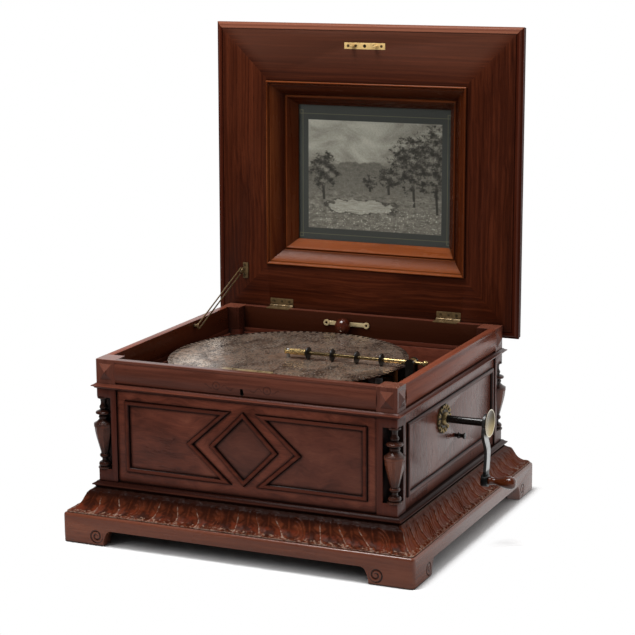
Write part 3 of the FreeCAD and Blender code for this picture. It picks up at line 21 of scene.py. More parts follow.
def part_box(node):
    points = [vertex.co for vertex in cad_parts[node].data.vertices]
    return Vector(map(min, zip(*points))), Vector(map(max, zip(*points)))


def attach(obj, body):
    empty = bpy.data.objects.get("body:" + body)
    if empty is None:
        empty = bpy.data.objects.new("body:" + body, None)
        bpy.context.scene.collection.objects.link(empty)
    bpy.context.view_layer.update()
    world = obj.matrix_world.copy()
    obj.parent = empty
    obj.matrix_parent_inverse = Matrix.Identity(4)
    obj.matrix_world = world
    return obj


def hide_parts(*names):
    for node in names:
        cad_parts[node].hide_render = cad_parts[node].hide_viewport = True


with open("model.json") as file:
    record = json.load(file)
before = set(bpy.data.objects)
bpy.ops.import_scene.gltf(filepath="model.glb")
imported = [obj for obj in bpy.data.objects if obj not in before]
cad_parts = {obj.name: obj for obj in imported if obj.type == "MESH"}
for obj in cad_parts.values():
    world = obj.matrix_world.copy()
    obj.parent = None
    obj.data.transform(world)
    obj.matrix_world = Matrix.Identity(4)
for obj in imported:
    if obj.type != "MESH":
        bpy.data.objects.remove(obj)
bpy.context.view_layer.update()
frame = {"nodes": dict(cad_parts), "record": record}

log = logging.getLogger("music_box")

Span = tuple[float, float]
Colour = tuple[float, float, float]
Place = tuple[float, float, float]
Piece = bpy.types.Object
Socket = bpy.types.NodeSocket
Material = bpy.types.Material
Settings = dict[str, Any] | None
Sockets = dict[Any, Any] | None

CASE = "ogee_moulding"  # the node whose middle is the middle of the case
SHARP, ROUND = 33.0, 40.0  # degrees; sharper edges stay sharp in the shading of joinery and of turnery
FINE, SOFT = 0.0003, 0.0004  # usual widths of a softened edge, in metres
LID_LEAN = math.tan(math.radians(1.0))  # how far the open lid leans back for each metre up
FORWARDS: Place = (0.0, -1.0, 0.0)
UPWARDS: Place = (0.0, 0.0, 1.0)
INWARDS = -0.05  # metres; a face whose normal points further than this towards the middle looks inwards
BOARD_SHIFTS: tuple[Span, Span] = ((0.31, 0.47), (0.29, 0.11))  # metres; give mitred boards their own figure


def shade(colour: Colour, share: float) -> Colour:
    """A colour times a number."""
    return tuple(share * part for part in colour)


def bell(away: np.ndarray, width: float) -> np.ndarray:
    """A soft ridge: 1 in its middle, falling with the distance away over a width."""
    return np.exp(-((away / width) ** 2))


def maths(operation: str, swapped: bool = False) -> Callable[..., "Field"]:
    """Makes a method that adds one Math node.

    Args:
        operation: the Math node's operation.
        swapped: puts the field after the other value.

    Returns:
        The method.
    """

    def method(self: "Field", *others: Any) -> "Field":
        """Result of the Math node for this field and other fields or numbers."""
        values = (*others, self) if swapped else (self, *others)
        return self.graph.field("ShaderNodeMath", {"operation": operation}, dict(enumerate(values)))

    return method


class Field:
    """A number that varies over a surface: one shader socket with arithmetic."""

    def __init__(self, graph: "Graph", socket: Socket) -> None:
        """Wraps a socket of a graph."""
        self.graph = graph
        self.socket = socket

    __add__ = __radd__ = maths("ADD")
    __sub__, __rsub__ = maths("SUBTRACT"), maths("SUBTRACT", swapped=True)
    __mul__ = __rmul__ = maths("MULTIPLY")
    __truediv__ = maths("DIVIDE")
    __gt__, __lt__, __abs__ = maths("GREATER_THAN"), maths("LESS_THAN"), maths("ABSOLUTE")
    floor, part, sine, root = maths("FLOOR"), maths("FRACT"), maths("SINE"), maths("SQRT")
    least, most, angle = maths("MINIMUM"), maths("MAXIMUM"), maths("ARCTAN2")

    def ease(self, low: float, high: float) -> "Field":
        """Smooth step.

        Args:
            low: value that gives 0.
            high: value that gives 1.

        Returns:
            The step, from 0 to 1.
        """
        sockets = {"Value": self, "From Min": low, "From Max": high}
        return self.graph.field("ShaderNodeMapRange", {"interpolation_type": "SMOOTHSTEP"}, sockets)

    def near(self, value: float, width: float) -> "Field":
        """Soft line.

        Args:
            value: where the line runs.
            width: half its width, to where it fades out.

        Returns:
            1 on the line, 0 away from it.
        """
        return 1 - abs(self - value).ease(0.4 * width, width)

    def under(self, mask: "Field", other: Any) -> "Field":
        """This field with another, or a number, laid over it where a mask is 1."""
        return self * (1 - mask) + mask * other


class Graph:
    """The nodes of one material, or of the room around the box."""

    def __init__(self, owner: Material | bpy.types.World, output: str = "ShaderNodeOutputMaterial") -> None:
        """Clears the nodes and adds an output.

        Args:
            owner: the material or world.
            output: the output's type.
        """
        owner.use_nodes = True
        self.owner = owner
        self.tree = owner.node_tree
        self.tree.nodes.clear()
        self.output = self.tree.nodes.new(output)

    @classmethod
    def named(cls, name: str) -> "Graph":
        """Starts an empty material."""
        return cls(bpy.data.materials.new(name))

    def node(self, kind: str, settings: Settings = None, sockets: Sockets = None) -> bpy.types.Node:
        """Adds a node.

        Args:
            kind: the node's type.
            settings: its own properties; "stops" gives a ramp's stops.
            sockets: values, fields or sockets for its inputs, by name or number.

        Returns:
            The node.
        """
        made = self.tree.nodes.new(kind)
        for key, value in (settings or {}).items():
            if key == "stops":
                self._set_stops(made.color_ramp, value)
            else:
                setattr(made, key, value)
        for key, value in (sockets or {}).items():
            self.feed(made.inputs[key], value)
        return made

    def field(self, kind: str, settings: Settings, sockets: Sockets, output: int | str = 0) -> Field:
        """Adds a node, as above, and gives one of its outputs as a field."""
        return Field(self, self.node(kind, settings, sockets).outputs[output])

    @staticmethod
    def _set_stops(ramp: bpy.types.ColorRamp, stops: list[tuple[float, Colour]]) -> None:
        """Gives a ramp its stops.

        Args:
            ramp: the ramp.
            stops: position and colour of each.
        """
        while len(ramp.elements) < len(stops):
            ramp.elements.new(0.5)
        for element, (position, colour) in zip(ramp.elements, stops):
            element.position = position
            element.color = (*colour, 1.0)

    def feed(self, socket: Socket, value: Any) -> None:
        """Links a field or socket to an input, or sets its number or colour.

        Args:
            socket: the input.
            value: what it gets.
        """
        value = value.socket if isinstance(value, Field) else value
        if isinstance(value, Socket):
            self.tree.links.new(value, socket)
        elif isinstance(value, tuple) and socket.type == "RGBA":
            socket.default_value = (*value, 1.0)
        else:
            socket.default_value = value

    def read(self, kind: str, output: str) -> tuple[Field, Field, Field]:
        """Adds a node that puts out a vector, and splits the vector.

        Args:
            kind: the node's type.
            output: the vector's name.

        Returns:
            Its x, y and z.
        """
        split = self.node("ShaderNodeSeparateXYZ", None, {0: self.node(kind).outputs[output]})
        x, y, z = (Field(self, socket) for socket in split.outputs)
        return x, y, z

    def place(self) -> tuple[Field, Field, Field]:
        """The point's x, y and z in the row frame, in metres."""
        return self.read("ShaderNodeTexCoord", "Object")

    def facing(self) -> tuple[Field, Field, Field]:
        """The surface normal's x, y and z."""
        return self.read("ShaderNodeNewGeometry", "True Normal")

    def vector(self, x: Any, y: Any, z: Any) -> Socket:
        """Three numbers as a vector."""
        return self.node("ShaderNodeCombineXYZ", None, {0: x, 1: y, 2: z}).outputs[0]

    def noise(self, where: tuple[Any, ...], detail: float, rough: float = 0.5, twist: float = 0.0) -> Field:
        """Noise from 0 to 1.

        Args:
            where: the place in the noise, three fields or numbers.
            detail: octaves.
            rough: share that each octave keeps.
            twist: distortion.

        Returns:
            The noise.
        """
        place = self.vector(*where)
        sockets = {"Vector": place, "Scale": 1.0, "Detail": detail, "Roughness": rough, "Distortion": twist}
        return self.field("ShaderNodeTexNoise", None, sockets)

    def chance(self, *where: Any) -> Field:
        """A fixed throw of the dice for each place, given by three fields or numbers."""
        return self.field("ShaderNodeTexWhiteNoise", None, {"Vector": self.vector(*where)}, "Value")

    def kept(self, name: str) -> Field:
        """A number kept on the mesh."""
        return self.field("ShaderNodeAttribute", {"attribute_name": name}, None, "Fac")

    def ramp(self, value: Field, stops: list[tuple[float, Colour]]) -> Socket:
        """Colour from a number."""
        return self.node("ShaderNodeValToRGB", {"stops": stops}, {0: value}).outputs[0]

    def blend(self, share: Any, first: Any, second: Any) -> Socket:
        """Mixes two colours.

        Args:
            share: how much of the second.
            first: colour or socket.
            second: colour or socket.

        Returns:
            The mixed colour.
        """
        settings = {"data_type": "RGBA", "blend_type": "MIX", "clamp_factor": True}
        return self.node("ShaderNodeMix", settings, {0: share, 6: first, 7: second}).outputs[2]

    def hollows(self, reach: float, inside: bool = False) -> Field:
        """How far a point is shut in, from 0 in the open to 1 in a crevice.

        Args:
            reach: how far it looks, in metres.
            inside: looks into the piece instead, so that its raised edges count as shut in.

        Returns:
            The share of directions that are blocked.
        """
        settings = {"samples": 6, "inside": inside, "only_local": inside}
        return 1 - self.field("ShaderNodeAmbientOcclusion", settings, {"Distance": reach}, "AO")

    def bump(self, height: Field, depth: float, strength: float) -> Socket:
        """Normal from a height between 0 and 1 that stands for a depth in metres."""
        sockets = {"Strength": strength, "Distance": depth, "Height": height}
        return self.node("ShaderNodeBump", None, sockets).outputs[0]

    def surface(self, sockets: dict[str, Any]) -> Material:
        """Ends the material in one shader.

        Args:
            sockets: values and links of the shader.

        Returns:
            The material.
        """
        return self.end(self.node("ShaderNodeBsdfPrincipled", None, sockets))

    def end(self, shader: bpy.types.Node) -> Material | bpy.types.World:
        """Links the last shader to the output, and returns the material or world."""
        self.tree.links.new(shader.outputs[0], self.output.inputs["Surface"])
        return self.owner


def middle(node: str) -> Vector:
    """Middle of a CAD node's box."""
    low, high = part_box(node)
    return (low + high) / 2


def half(node: str) -> Vector:
    """Half sizes of a CAD node's box."""
    low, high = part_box(node)
    return (high - low) / 2


class Grain(Enum):
    """How the timber of a piece runs."""

    ACROSS = "along x"
    DEPTH = "along y"
    UPRIGHT = "along z"
    CASE_RING = "round the case, mitred"
    LID_RING = "round the lid, mitred"
    PICTURE_RING = "round the picture, mitred"

    def lay(self, graph: Graph) -> tuple[Field, Field, Field]:
        """Turns the timber.

        Args:
            graph: the material that reads it.

        Returns:
            The place along the grain, across it and through the board, in metres.
        """
        x, y, z = graph.place()
        straight = {Grain.ACROSS: (x, z, y), Grain.DEPTH: (y, z, x), Grain.UPRIGHT: (z, x, y)}
        if self in straight:
            return straight[self]
        on_case = self is Grain.CASE_RING
        node = {Grain.CASE_RING: CASE, Grain.LID_RING: "lid_frame"}.get(self, "picture_moulding")
        other, third, axis = (y, z, 1) if on_case else (z, y, 2)
        centre, reach = middle(node), half(node)
        dx, off = x - centre.x, other - centre[axis]
        side = (abs(dx) - reach.x) > (abs(off) - reach[axis])
        (to_right, left), (to_far, near) = BOARD_SHIFTS
        board = side * ((dx > 0) * to_right + left) + (1 - side) * ((off > 0) * to_far + near)
        along = other * side + x * (1 - side)
        cross, flat = x * side + other * (1 - side) + board, third + board
        return (along, flat, cross) if on_case else (along, cross, flat)


@dataclass(frozen=True)
class Timber:
    """French polished mahogany."""

    name: str
    grain: Grain
    dark: Colour = (0.042, 0.0105, 0.0058)
    body: Colour = (0.094, 0.027, 0.016)
    light: Colour = (0.15, 0.047, 0.028)
    pitch: float = 95.0
    cloud: float = 0.45
    # crevice_shade: share of painted shade in crevices and hollows
    crevice_shade: float = 0.75
    rough: float = 0.34
    shine: float = 0.04
    gloss: float = 0.28
    ripple: float = 0.55
    crevice: float = 0.01
    shut_in: Span = (0.0, 0.9)
    # rubbed: share of the paler edges, partly real wear and partly painted highlight
    rubbed: float = 0.3
    stops: tuple[float, float, float] = (0.3, 0.5, 0.7)
    worn_and_highlit_edge: float = 0.0024
    pore_depth: float = 0.0004

    def tone(self, graph: Graph, along: Field, across: Field, through: Field) -> Field:
        """Figure of the wood.

        Args:
            graph: the material.
            along: place along the grain.
            across: place across it.
            through: place through the board.

        Returns:
            The tone, about 0.5 in the middle.
        """
        cloud = graph.noise((along * 2.4, across * 9.0, through * 9.0), 3.0, 0.55, 0.6)
        wander = (cloud - 0.5) * 0.03
        where = (along * 2.2, (across + wander) * self.pitch, (through + wander) * self.pitch)
        lines = graph.noise(where, 4.0, 0.62)
        return cloud * self.cloud + lines * (1 - self.cloud)

    def incised(self, graph: Graph) -> Field | None:
        """Cut or inlaid lines, from 0 to 1, where the piece has them."""
        return None

    def wear(self, graph: Graph, colour: Socket) -> Socket:
        """Colour with the wear of the piece's own shape."""
        return colour

    def material(self) -> Material:
        """Makes the material.

        Returns:
            The finished material.
        """
        graph = Graph.named(self.name)
        along, across, through = self.grain.lay(graph)
        tone = self.tone(graph, along, across, through)
        pores = graph.noise((along * 60.0, across * 1300.0, through * 1300.0), 1.0)
        pits = pores.ease(0.58, 0.74)
        colour = graph.ramp(tone, list(zip(self.stops, (self.dark, self.body, self.light))))
        colour = graph.blend(pits * 0.5, colour, self.dark)
        # Paler raised edges: partly real wear, partly painted highlight along the arrises.
        edges = graph.hollows(self.worn_and_highlit_edge, inside=True).ease(0.12, 0.75)
        colour = graph.blend(edges * self.rubbed, colour, shade(self.light, 1.5))
        colour = self.wear(graph, colour)
        # Painted shade: darker in crevices and hollows, by how shut in each point is.
        shut = graph.hollows(self.crevice).ease(*self.shut_in)
        colour = graph.blend(shut * self.crevice_shade, colour, shade(self.dark, 0.14))
        height = tone * 0.35 + (1 - pits) * 0.25
        cut = self.incised(graph)
        if cut is not None:
            colour = graph.blend(cut * 0.85, colour, shade(self.dark, 0.35))
            height = height - cut * 1.6
        handled = graph.noise((along * 14.0, across * 14.0, through * 14.0), 3.0)
        return graph.surface({
            "Base Color": colour,
            "Roughness": self.rough + (tone - 0.5) * 0.22 + (handled - 0.5) * 0.16 + shut * 0.25,
            "Specular IOR Level": self.gloss,
            "Coat Weight": self.shine * (1 - shut * 0.8),
            "Coat Roughness": 0.16,
            "Normal": graph.bump(height, self.pore_depth, self.ripple),
        })


@dataclass(frozen=True)
class Scroll:
    """Spiral cut into each face of each foot, the same on the mesh and in the finish."""

    front_reach: float = 0.239
    side_reach: float = 0.22
    level: float = 0.0155
    pitch: float = 0.006
    outer: float = 0.0098
    turns: float = 1.4
    start: float = -0.26
    line: float = 0.0021

    def path(self, count: int) -> np.ndarray:
        """Points of the spiral.

        Args:
            count: how many.

        Returns:
            Places outwards and upwards from the scroll's middle, in metres.
        """
        turn = np.linspace(self.start, self.start + self.turns, count)
        radius = self.outer - self.pitch * turn
        return np.stack([radius * np.cos(2 * np.pi * turn), radius * np.sin(2 * np.pi * turn)], axis=-1)


@dataclass(frozen=True)
class FootTimber(Timber):
    """Plinth timber, dark in the scroll on each face of each foot."""

    scroll: Scroll = Scroll()

    def incised(self, graph: Graph) -> Field:
        """Scroll lines, mirrored on the two feet of each face.

        Args:
            graph: the material.

        Returns:
            1 in the lines, 0 elsewhere.
        """
        cut = self.scroll
        x, y, z = graph.place()
        nx, ny, _ = graph.facing()
        centre = middle(CASE)
        side = abs(nx) > abs(ny)
        out = abs(y - centre.y) * side + abs(x - centre.x) * (1 - side)
        out = out - (side * cut.side_reach + (1 - side) * cut.front_reach)
        up = z - cut.level
        radius = (out * out + up * up).root()
        around = up.angle(out) / (2 * math.pi)
        phase = (radius - cut.outer) / cut.pitch + around
        arm = abs((phase + 0.5).part() - 0.5) * cut.pitch
        line = 1 - arm.ease(0.4 * cut.line, cut.line)
        widest = cut.outer - cut.pitch * cut.start
        narrowest = cut.outer - cut.pitch * (cut.start + cut.turns)
        return line * (radius < widest + 0.3 * cut.line) * (radius > narrowest - 0.3 * cut.line)


def looks_in(graph: Graph) -> Field:
    """Finds the faces that look into the case.

    Args:
        graph: the material.

    Returns:
        1 on those faces, 0 elsewhere.
    """
    x, y, _ = graph.place()
    nx, ny, _ = graph.facing()
    centre = middle(CASE)
    return (nx * (x - centre.x) + ny * (y - centre.y)) < INWARDS


@dataclass(frozen=True)
class CaseRail(Timber):
    """Rail round the case's mouth, with painted shade on the face that looks into the case."""

    # inner: painted shade inside the case
    inner: Colour = (0.026, 0.0058, 0.0018)
    share: float = 0.8

    def wear(self, graph: Graph, colour: Socket) -> Socket:
        """Paints shade on the faces that look inwards."""
        return graph.blend(looks_in(graph) * self.share, colour, self.inner)


@dataclass(frozen=True)
class FacetTimber(Timber):
    """Polish with painted light on faces that look up and painted shade on those that look down or sideways.
    """

    # up: painted light; down: painted shade
    up: Colour = (0.205, 0.066, 0.038)
    down: Colour = (0.024, 0.0056, 0.003)
    share: float = 0.45
    sides: float = 0.0
    tilt: Span = (0.06, 0.45)
    slant: Span = (0.15, 0.55)

    def wear(self, graph: Graph, colour: Socket) -> Socket:
        """Paints light on the faces that look up and shade on those that look down or sideways.

        Args:
            graph: the material.
            colour: the plain timber's.

        Returns:
            The worn colour.
        """
        nx, _, nz = graph.facing()
        colour = graph.blend(nz.ease(*self.tilt) * self.share, colour, self.up)
        under = (0 - nz).ease(*self.tilt) * self.share
        return graph.blend(under.most(abs(nx).ease(*self.slant) * self.sides), colour, self.down)


@dataclass(frozen=True)
class BlockTimber(FacetTimber):
    """Corner block with painted light and shade on its pyramids and painted shade on the faces that look
    into the case.
    """

    inner_share: float = 0.85

    def wear(self, graph: Graph, colour: Socket) -> Socket:
        """Paints light and shade on the pyramids' faces and shade on the inner ones."""
        return graph.blend(looks_in(graph) * self.inner_share, super().wear(graph, colour), self.down)


@dataclass(frozen=True)
class TurnedTimber(Timber):
    """Turned column with painted shade in its necks and on its rings above and below the vase."""

    axis: Span = (0.2485, 0.2295)
    neck: Span = (0.0065, 0.0115)
    vase: Span = (0.2, 0.61)
    soft: Span = (0.03, 0.02)
    rings: float = 0.62
    necks: float = 0.7

    def wear(self, graph: Graph, colour: Socket) -> Socket:
        """Paints shade by how near the wood is to the column's axis, and away from the vase.

        Args:
            graph: the material.
            colour: the plain timber's.

        Returns:
            The worn colour.
        """
        x, y, z = graph.place()
        low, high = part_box("columns")
        rise = (z - low.z) / (high.z - low.z)
        (foot, shoulder), (below, around) = self.vase, self.soft
        vase = rise.ease(foot - below, foot) * (1 - rise.ease(shoulder - around, shoulder + around))
        colour = graph.blend((1 - vase) * self.rings, colour, shade(self.dark, 0.5))
        centre = middle(CASE)
        dx, dy = abs(x - centre.x) - self.axis[0], abs(y - centre.y) - self.axis[1]
        thin = 1 - (dx * dx + dy * dy).root().ease(*self.neck)
        return graph.blend(thin * self.necks, colour, shade(self.dark, 0.5))


@dataclass(frozen=True)
class FrontRail(CaseRail):
    """Front rail with a worn ringed inlay on each side of the keyhole."""

    reach: float = 0.0432
    level: float = 0.269
    ring: float = 0.006
    dot: Span = (0.0012, 0.0022)
    line: float = 0.0014
    scrolls: tuple[tuple[float, float, float], ...] = ((-0.019, 0.0036, 0.01), (0.014, 0.0028, 0.0065))
    sweep: float = 330.0
    drop: float = 0.0015
    strength: float = 0.62

    def incised(self, graph: Graph) -> Field:
        """Ring with a dot, and a leaf scroll towards the keyhole and beyond the ring.

        Args:
            graph: the material.

        Returns:
            1 in the lines, 0 elsewhere.
        """
        x, _, z = graph.place()
        _, ny, _ = graph.facing()
        out = abs(x - middle("lock").x)
        across, up = out - self.reach, z - self.level
        radius = (across * across + up * up).root()
        shapes = radius.near(self.ring, self.line) + (1 - radius.ease(*self.dot))
        for start, tall, half_length in self.scrolls:
            run = across - start
            rise = up + self.drop - (run * self.sweep).sine() * tall
            shapes = shapes + rise.near(0.0, self.line) * (abs(run) < half_length)
        worn = graph.noise((x * 260.0, 0.0, z * 260.0), 2.0).ease(0.25, 0.55)
        return shapes.least(1.0) * worn * self.strength * (ny < -0.5)


@dataclass(frozen=True)
class CarvedTimber(Timber):
    """Carved mahogany, pale on its ribs from wear and painted highlight, with painted shade in its cuts and
    at its top.
    """

    red: Colour = (0.105, 0.0165, 0.005)
    # side_red, side_light and side_warmth: painted light on the side lengths, paler and redder
    side_red: Colour = (0.19, 0.04, 0.011)
    # worn and tip: pale ribs and tips, partly real wear and partly painted highlight
    worn: Colour = (0.255, 0.18, 0.14)
    tip: Colour = (0.3, 0.19, 0.135)
    # cuts: painted shade in the carved hollows
    cuts: Span = (0.62, 0.1)
    aged: Span = (0.5, 0.32)
    # top: painted shadow under the lower moulding
    top: Span = (0.92, 0.42)
    side_light: float = 0.25
    side_warmth: float = 0.34
    foot: Span = (0.22, 0.2)
    foot_warmth: float = 0.75
    ribs: Span = (0.76, 0.97)
    rib_share: float = 0.85
    tips: Span = (0.07, 0.09)
    tip_share: float = 0.7

    def wear(self, graph: Graph, colour: Socket) -> Socket:
        """Paints shade in the cuts and pale wear and highlight on the ribs, by the carved height on the
        mesh.

        Args:
            graph: the material.
            colour: the plain timber's.

        Returns:
            The worn colour.
        """
        height = graph.kept("height")
        low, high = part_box("ogee_moulding")
        x, y, z = graph.place()
        nx, ny, _ = graph.facing()
        side = abs(nx) > abs(ny)
        rise = (z - low.z) / (high.z - low.z)
        cuts, aged, top = (front - side * less for front, less in (self.cuts, self.aged, self.top))
        cut = 1 - height.ease(0.16, 0.48)
        # Painted shade in the cuts.
        colour = graph.blend(cut * cuts, colour, shade(self.dark, 0.4))
        # Painted light on the side lengths.
        colour = graph.blend(side * self.side_light, colour, self.light)
        glints = graph.noise((x * 190.0, y * 190.0, z * 260.0), 3.0, 0.6).ease(0.38, 0.6)
        patches = graph.noise((x * 62.0, y * 62.0, z * 90.0 + 5.0), 3.0, 0.6)
        colour = graph.blend(patches.ease(0.4, 0.62) * aged, colour, shade(self.dark, 0.55))
        # Painted light: the side lengths redder.
        colour = graph.blend(side * self.side_warmth, colour, self.side_red)
        warm = rise.near(*self.foot) * (1 - patches.ease(0.36, 0.58))
        colour = graph.blend(warm * self.foot_warmth, colour, self.red)
        # Pale ribs and tips: partly wear, partly painted highlight.
        colour = graph.blend(height.ease(*self.ribs) * glints * self.rib_share, colour, self.worn)
        tips = graph.noise((x * 200.0, y * 200.0, z * 420.0 + 3.0), 2.0, 0.6).ease(0.54, 0.66)
        colour = graph.blend(tips * rise.near(*self.tips) * self.tip_share, colour, self.tip)
        # Painted shadow under the lower moulding.
        return graph.blend(rise.ease(0.42, 0.9) * top, colour, shade(self.dark, 0.3))


@dataclass(frozen=True)
class Burl(Timber):
    """Figured veneer with swirling cloudy grain."""

    swirl: float = 0.045

    def tone(self, graph: Graph, along: Field, across: Field, through: Field) -> Field:
        """Figure of the veneer.

        Args:
            graph: the material.
            along: place along the grain.
            across: place across it.
            through: place through the board.

        Returns:
            The tone, about 0.5 in the middle.
        """
        bend = graph.noise((along * 11.0, across * 11.0, through * 11.0), 3.0, 0.5, 1.2)
        drift = graph.noise((along * 7.0 + 9.3, across * 7.0, through * 7.0), 2.0, 0.5, 0.8)
        turned = across + (bend - 0.5) * self.swirl
        slid = along + (drift - 0.5) * self.swirl
        curl = graph.noise((slid * 18.0, turned * 70.0, through * 30.0), 4.0, 0.6, 0.5)
        fine = graph.noise((slid * 60.0, turned * 420.0, through * 60.0), 2.0)
        tone = bend * 0.3 + drift * 0.22 + curl * 0.34 + fine * 0.14
        return (tone - 0.5) * 1.35 + 0.5


@dataclass(frozen=True)
class FrontVeneer(Burl):
    """Veneer of the front wall, greyer in the fields inside its beads, with painted sheen and painted shade
    at its foot.
    """

    field: Colour = (0.05, 0.0215, 0.0165)
    level: float = 0.171
    tall: float = 0.0545
    wide: float = 0.203
    arrow: float = 0.093
    slope: float = 1.1376
    lozenge: float = 0.054
    # greyed: the right field greyer than the left as painted sheen
    greyed: Span = (0.18, 0.24)
    lozenge_share: float = 0.55
    # foot and foot_share: painted shade along the foot of the wall
    foot: float = 0.016
    foot_share: float = 0.7

    def wear(self, graph: Graph, colour: Socket) -> Socket:
        """Greys the arrow fields and the diamond, the right more than the left as painted sheen; paints
        shade at the foot.

        Args:
            graph: the material.
            colour: the plain timber's.

        Returns:
            The worn colour.
        """
        x, _, z = graph.place()
        low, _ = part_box("wall_front")
        centre = middle("wall_front")
        out, up = abs(x - centre.x), abs(z - self.level)
        field = (up < self.tall) * (out < self.wide) * (out > (self.arrow - up * self.slope))
        left, more_at_right = self.greyed
        diamond = ((out + up) < self.lozenge) * self.lozenge_share
        share = field * ((x > centre.x) * more_at_right + left) + diamond
        colour = graph.blend(share, colour, self.field)
        # Painted shade along the foot of the wall.
        foot = 1 - (z - low.z).ease(0.0, self.foot)
        return graph.blend(foot * self.foot_share, colour, shade(self.dark, 0.5))


@dataclass(frozen=True)
class BeadTimber(Timber):
    """Applied bead, with painted shade on both flanks and a painted highlight along its ridge."""

    side: float = 0.245
    ridge: Span = (0.94, 0.99)
    flank: Span = (0.5, 0.86)

    def wear(self, graph: Graph, colour: Socket) -> Socket:
        """Paints shade on the flanks and a highlight on the ridge, told apart by the wall that the bead lies
        on.

        Args:
            graph: the material.
            colour: the plain timber's.

        Returns:
            The worn colour.
        """
        x, _, _ = graph.place()
        nx, ny, _ = graph.facing()
        on_side = abs(x - middle("panel_beads").x) > self.side
        outwards = abs(nx) * on_side + abs(ny) * (1 - on_side)
        colour = graph.blend(outwards.ease(*self.ridge) * 0.3, colour, self.light)
        return graph.blend((1 - outwards.ease(*self.flank)) * 0.9, colour, shade(self.dark, 0.3))


@dataclass(frozen=True)
class LidTimber(Timber):
    """Lid timber with a painted sheen on the top rail, where its grain runs across."""

    sheen: Colour = (0.1, 0.038, 0.023)
    share: float = 0.46
    mitre: Span = (-0.012, 0.03)
    fade: Span = (0.03, 0.105)

    def wear(self, graph: Graph, colour: Socket) -> Socket:
        """Paints the sheen on the top rail up to its mitres, most along its outer part.

        Args:
            graph: the material.
            colour: the plain timber's.

        Returns:
            The worn colour.
        """
        x, _, z = graph.place()
        centre, reach = middle("lid_frame"), half("lid_frame")
        down, in_from_end = centre.z + reach.z - z, reach.x - abs(x - centre.x)
        mitre = (in_from_end - down).ease(*self.mitre)
        return graph.blend(mitre * (1 - down.ease(*self.fade)) * self.share, colour, self.sheen)


@dataclass(frozen=True)
class LidEdge(Timber):
    """Lid's edge moulding, dark where it meets the frame, with painted light along the top of the open lid.
    """

    width: float = 0.012
    joint: float = 0.0016
    quirk: Span = (0.007, 0.0022)
    # pale: painted light on the top length; arris: painted highlight on the arris line
    pale: Colour = (0.25, 0.09, 0.052)
    arris: Colour = (0.105, 0.028, 0.015)

    def wear(self, graph: Graph, colour: Socket) -> Socket:
        """Draws the joint, paints a highlight on the arris and paints light on the top length up to its
        mitres.

        Args:
            graph: the material.
            colour: the plain timber's.

        Returns:
            The worn colour.
        """
        x, _, z = graph.place()
        centre, reach = middle("lid_edge_moulding"), half("lid_edge_moulding")
        side, up = abs(x - centre.x) - reach.x, z - centre.z - reach.z
        out = side.most(abs(z - centre.z) - reach.z) + self.width
        quirk = out.near(*self.quirk)
        colour = graph.blend(quirk * 0.5, colour, self.arris)
        colour = graph.blend((up > side) * (0.85 - quirk * 0.5), colour, self.pale)
        return graph.blend((out < self.joint) * 0.8, colour, shade(self.dark, 0.3))


@dataclass(frozen=True)
class PictureTimber(FacetTimber):
    """Picture moulding with painted light and shade on its faces and painted shade towards the bottom of its
    hollow.
    """

    hollow: Span = (0.007, 0.023)
    step: float = 0.024
    depth_share: float = 0.66

    def wear(self, graph: Graph, colour: Socket) -> Socket:
        """Paints shade in the hollow by its depth behind the moulding's front.

        Args:
            graph: the material.
            colour: the plain timber's.

        Returns:
            The worn colour.
        """
        _, y, z = graph.place()
        low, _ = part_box("picture_moulding")
        depth = y - low.y - (z - low.z) * LID_LEAN
        colour = super().wear(graph, colour)
        deep = depth.ease(*self.hollow) * (depth < self.step)
        return graph.blend(deep * self.depth_share, colour, self.down)


@dataclass(frozen=True)
class Metal:
    """Metal with tarnish in its hollows, patches of age and a fine brushed surface."""

    name: str
    bright: Colour
    dull: Colour
    rough: float = 0.34
    tarnish: float = 0.8
    metallic: float = 1.0
    patch: float = 55.0
    shine: float = 0.0

    def tint(self, graph: Graph, colour: Socket) -> Socket:
        """Colour with the marks of the piece's own use."""
        return colour

    def material(self) -> Material:
        """Makes the material.

        Returns:
            The finished material.
        """
        graph = Graph.named(self.name)
        x, y, z = graph.place()
        patches = graph.noise((x * self.patch, y * self.patch, z * self.patch), 4.0, 0.6, 0.4)
        rubbed = graph.noise((x * 900.0, y * 120.0, z * 900.0), 2.0)
        shut = graph.hollows(0.005)
        age = patches.ease(0.42, 0.72) * 0.65 + shut * self.tarnish
        colour = graph.blend(age, self.bright, self.dull)
        height = patches * 0.3 + rubbed * 0.3
        return graph.surface({
            "Base Color": self.tint(graph, colour),
            "Metallic": self.metallic - age * 0.15,
            "Roughness": self.rough + (patches - 0.5) * 0.2 + (rubbed - 0.5) * 0.12 + shut * 0.25,
            "Coat Weight": self.shine * (1 - shut),
            "Coat Roughness": 0.1,
            "Normal": graph.bump(height, 0.0003, 0.4),
        })


@dataclass(frozen=True)
class BarBrass(Metal):
    """Brass of the pressure bar, dark with old oil between its rollers."""

    oil: float = 0.78
    past: Span = (0.004, 0.006)

    def tint(self, graph: Graph, colour: Socket) -> Socket:
        """Darkens the stretch between the first and last rollers.

        Args:
            graph: the material.
            colour: the plain metal's.

        Returns:
            The marked colour.
        """
        x, _, _ = graph.place()
        before, after = self.past
        oiled = (x > middle("roller_1").x - before) * (x < middle("roller_4").x + after)
        return graph.blend(oiled * self.oil, colour, self.dull)


@dataclass(frozen=True)
class LockBrass(Metal):
    """Brass of the lock, with painted shade inside its keyhole."""

    edge: float = 0.006
    black: Colour = (0.006, 0.0045, 0.004)

    def tint(self, graph: Graph, colour: Socket) -> Socket:
        """Paints shade, black, on all but the top edge."""
        _, _, z = graph.place()
        return graph.blend(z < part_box("lock")[1].z - self.edge, colour, self.black)


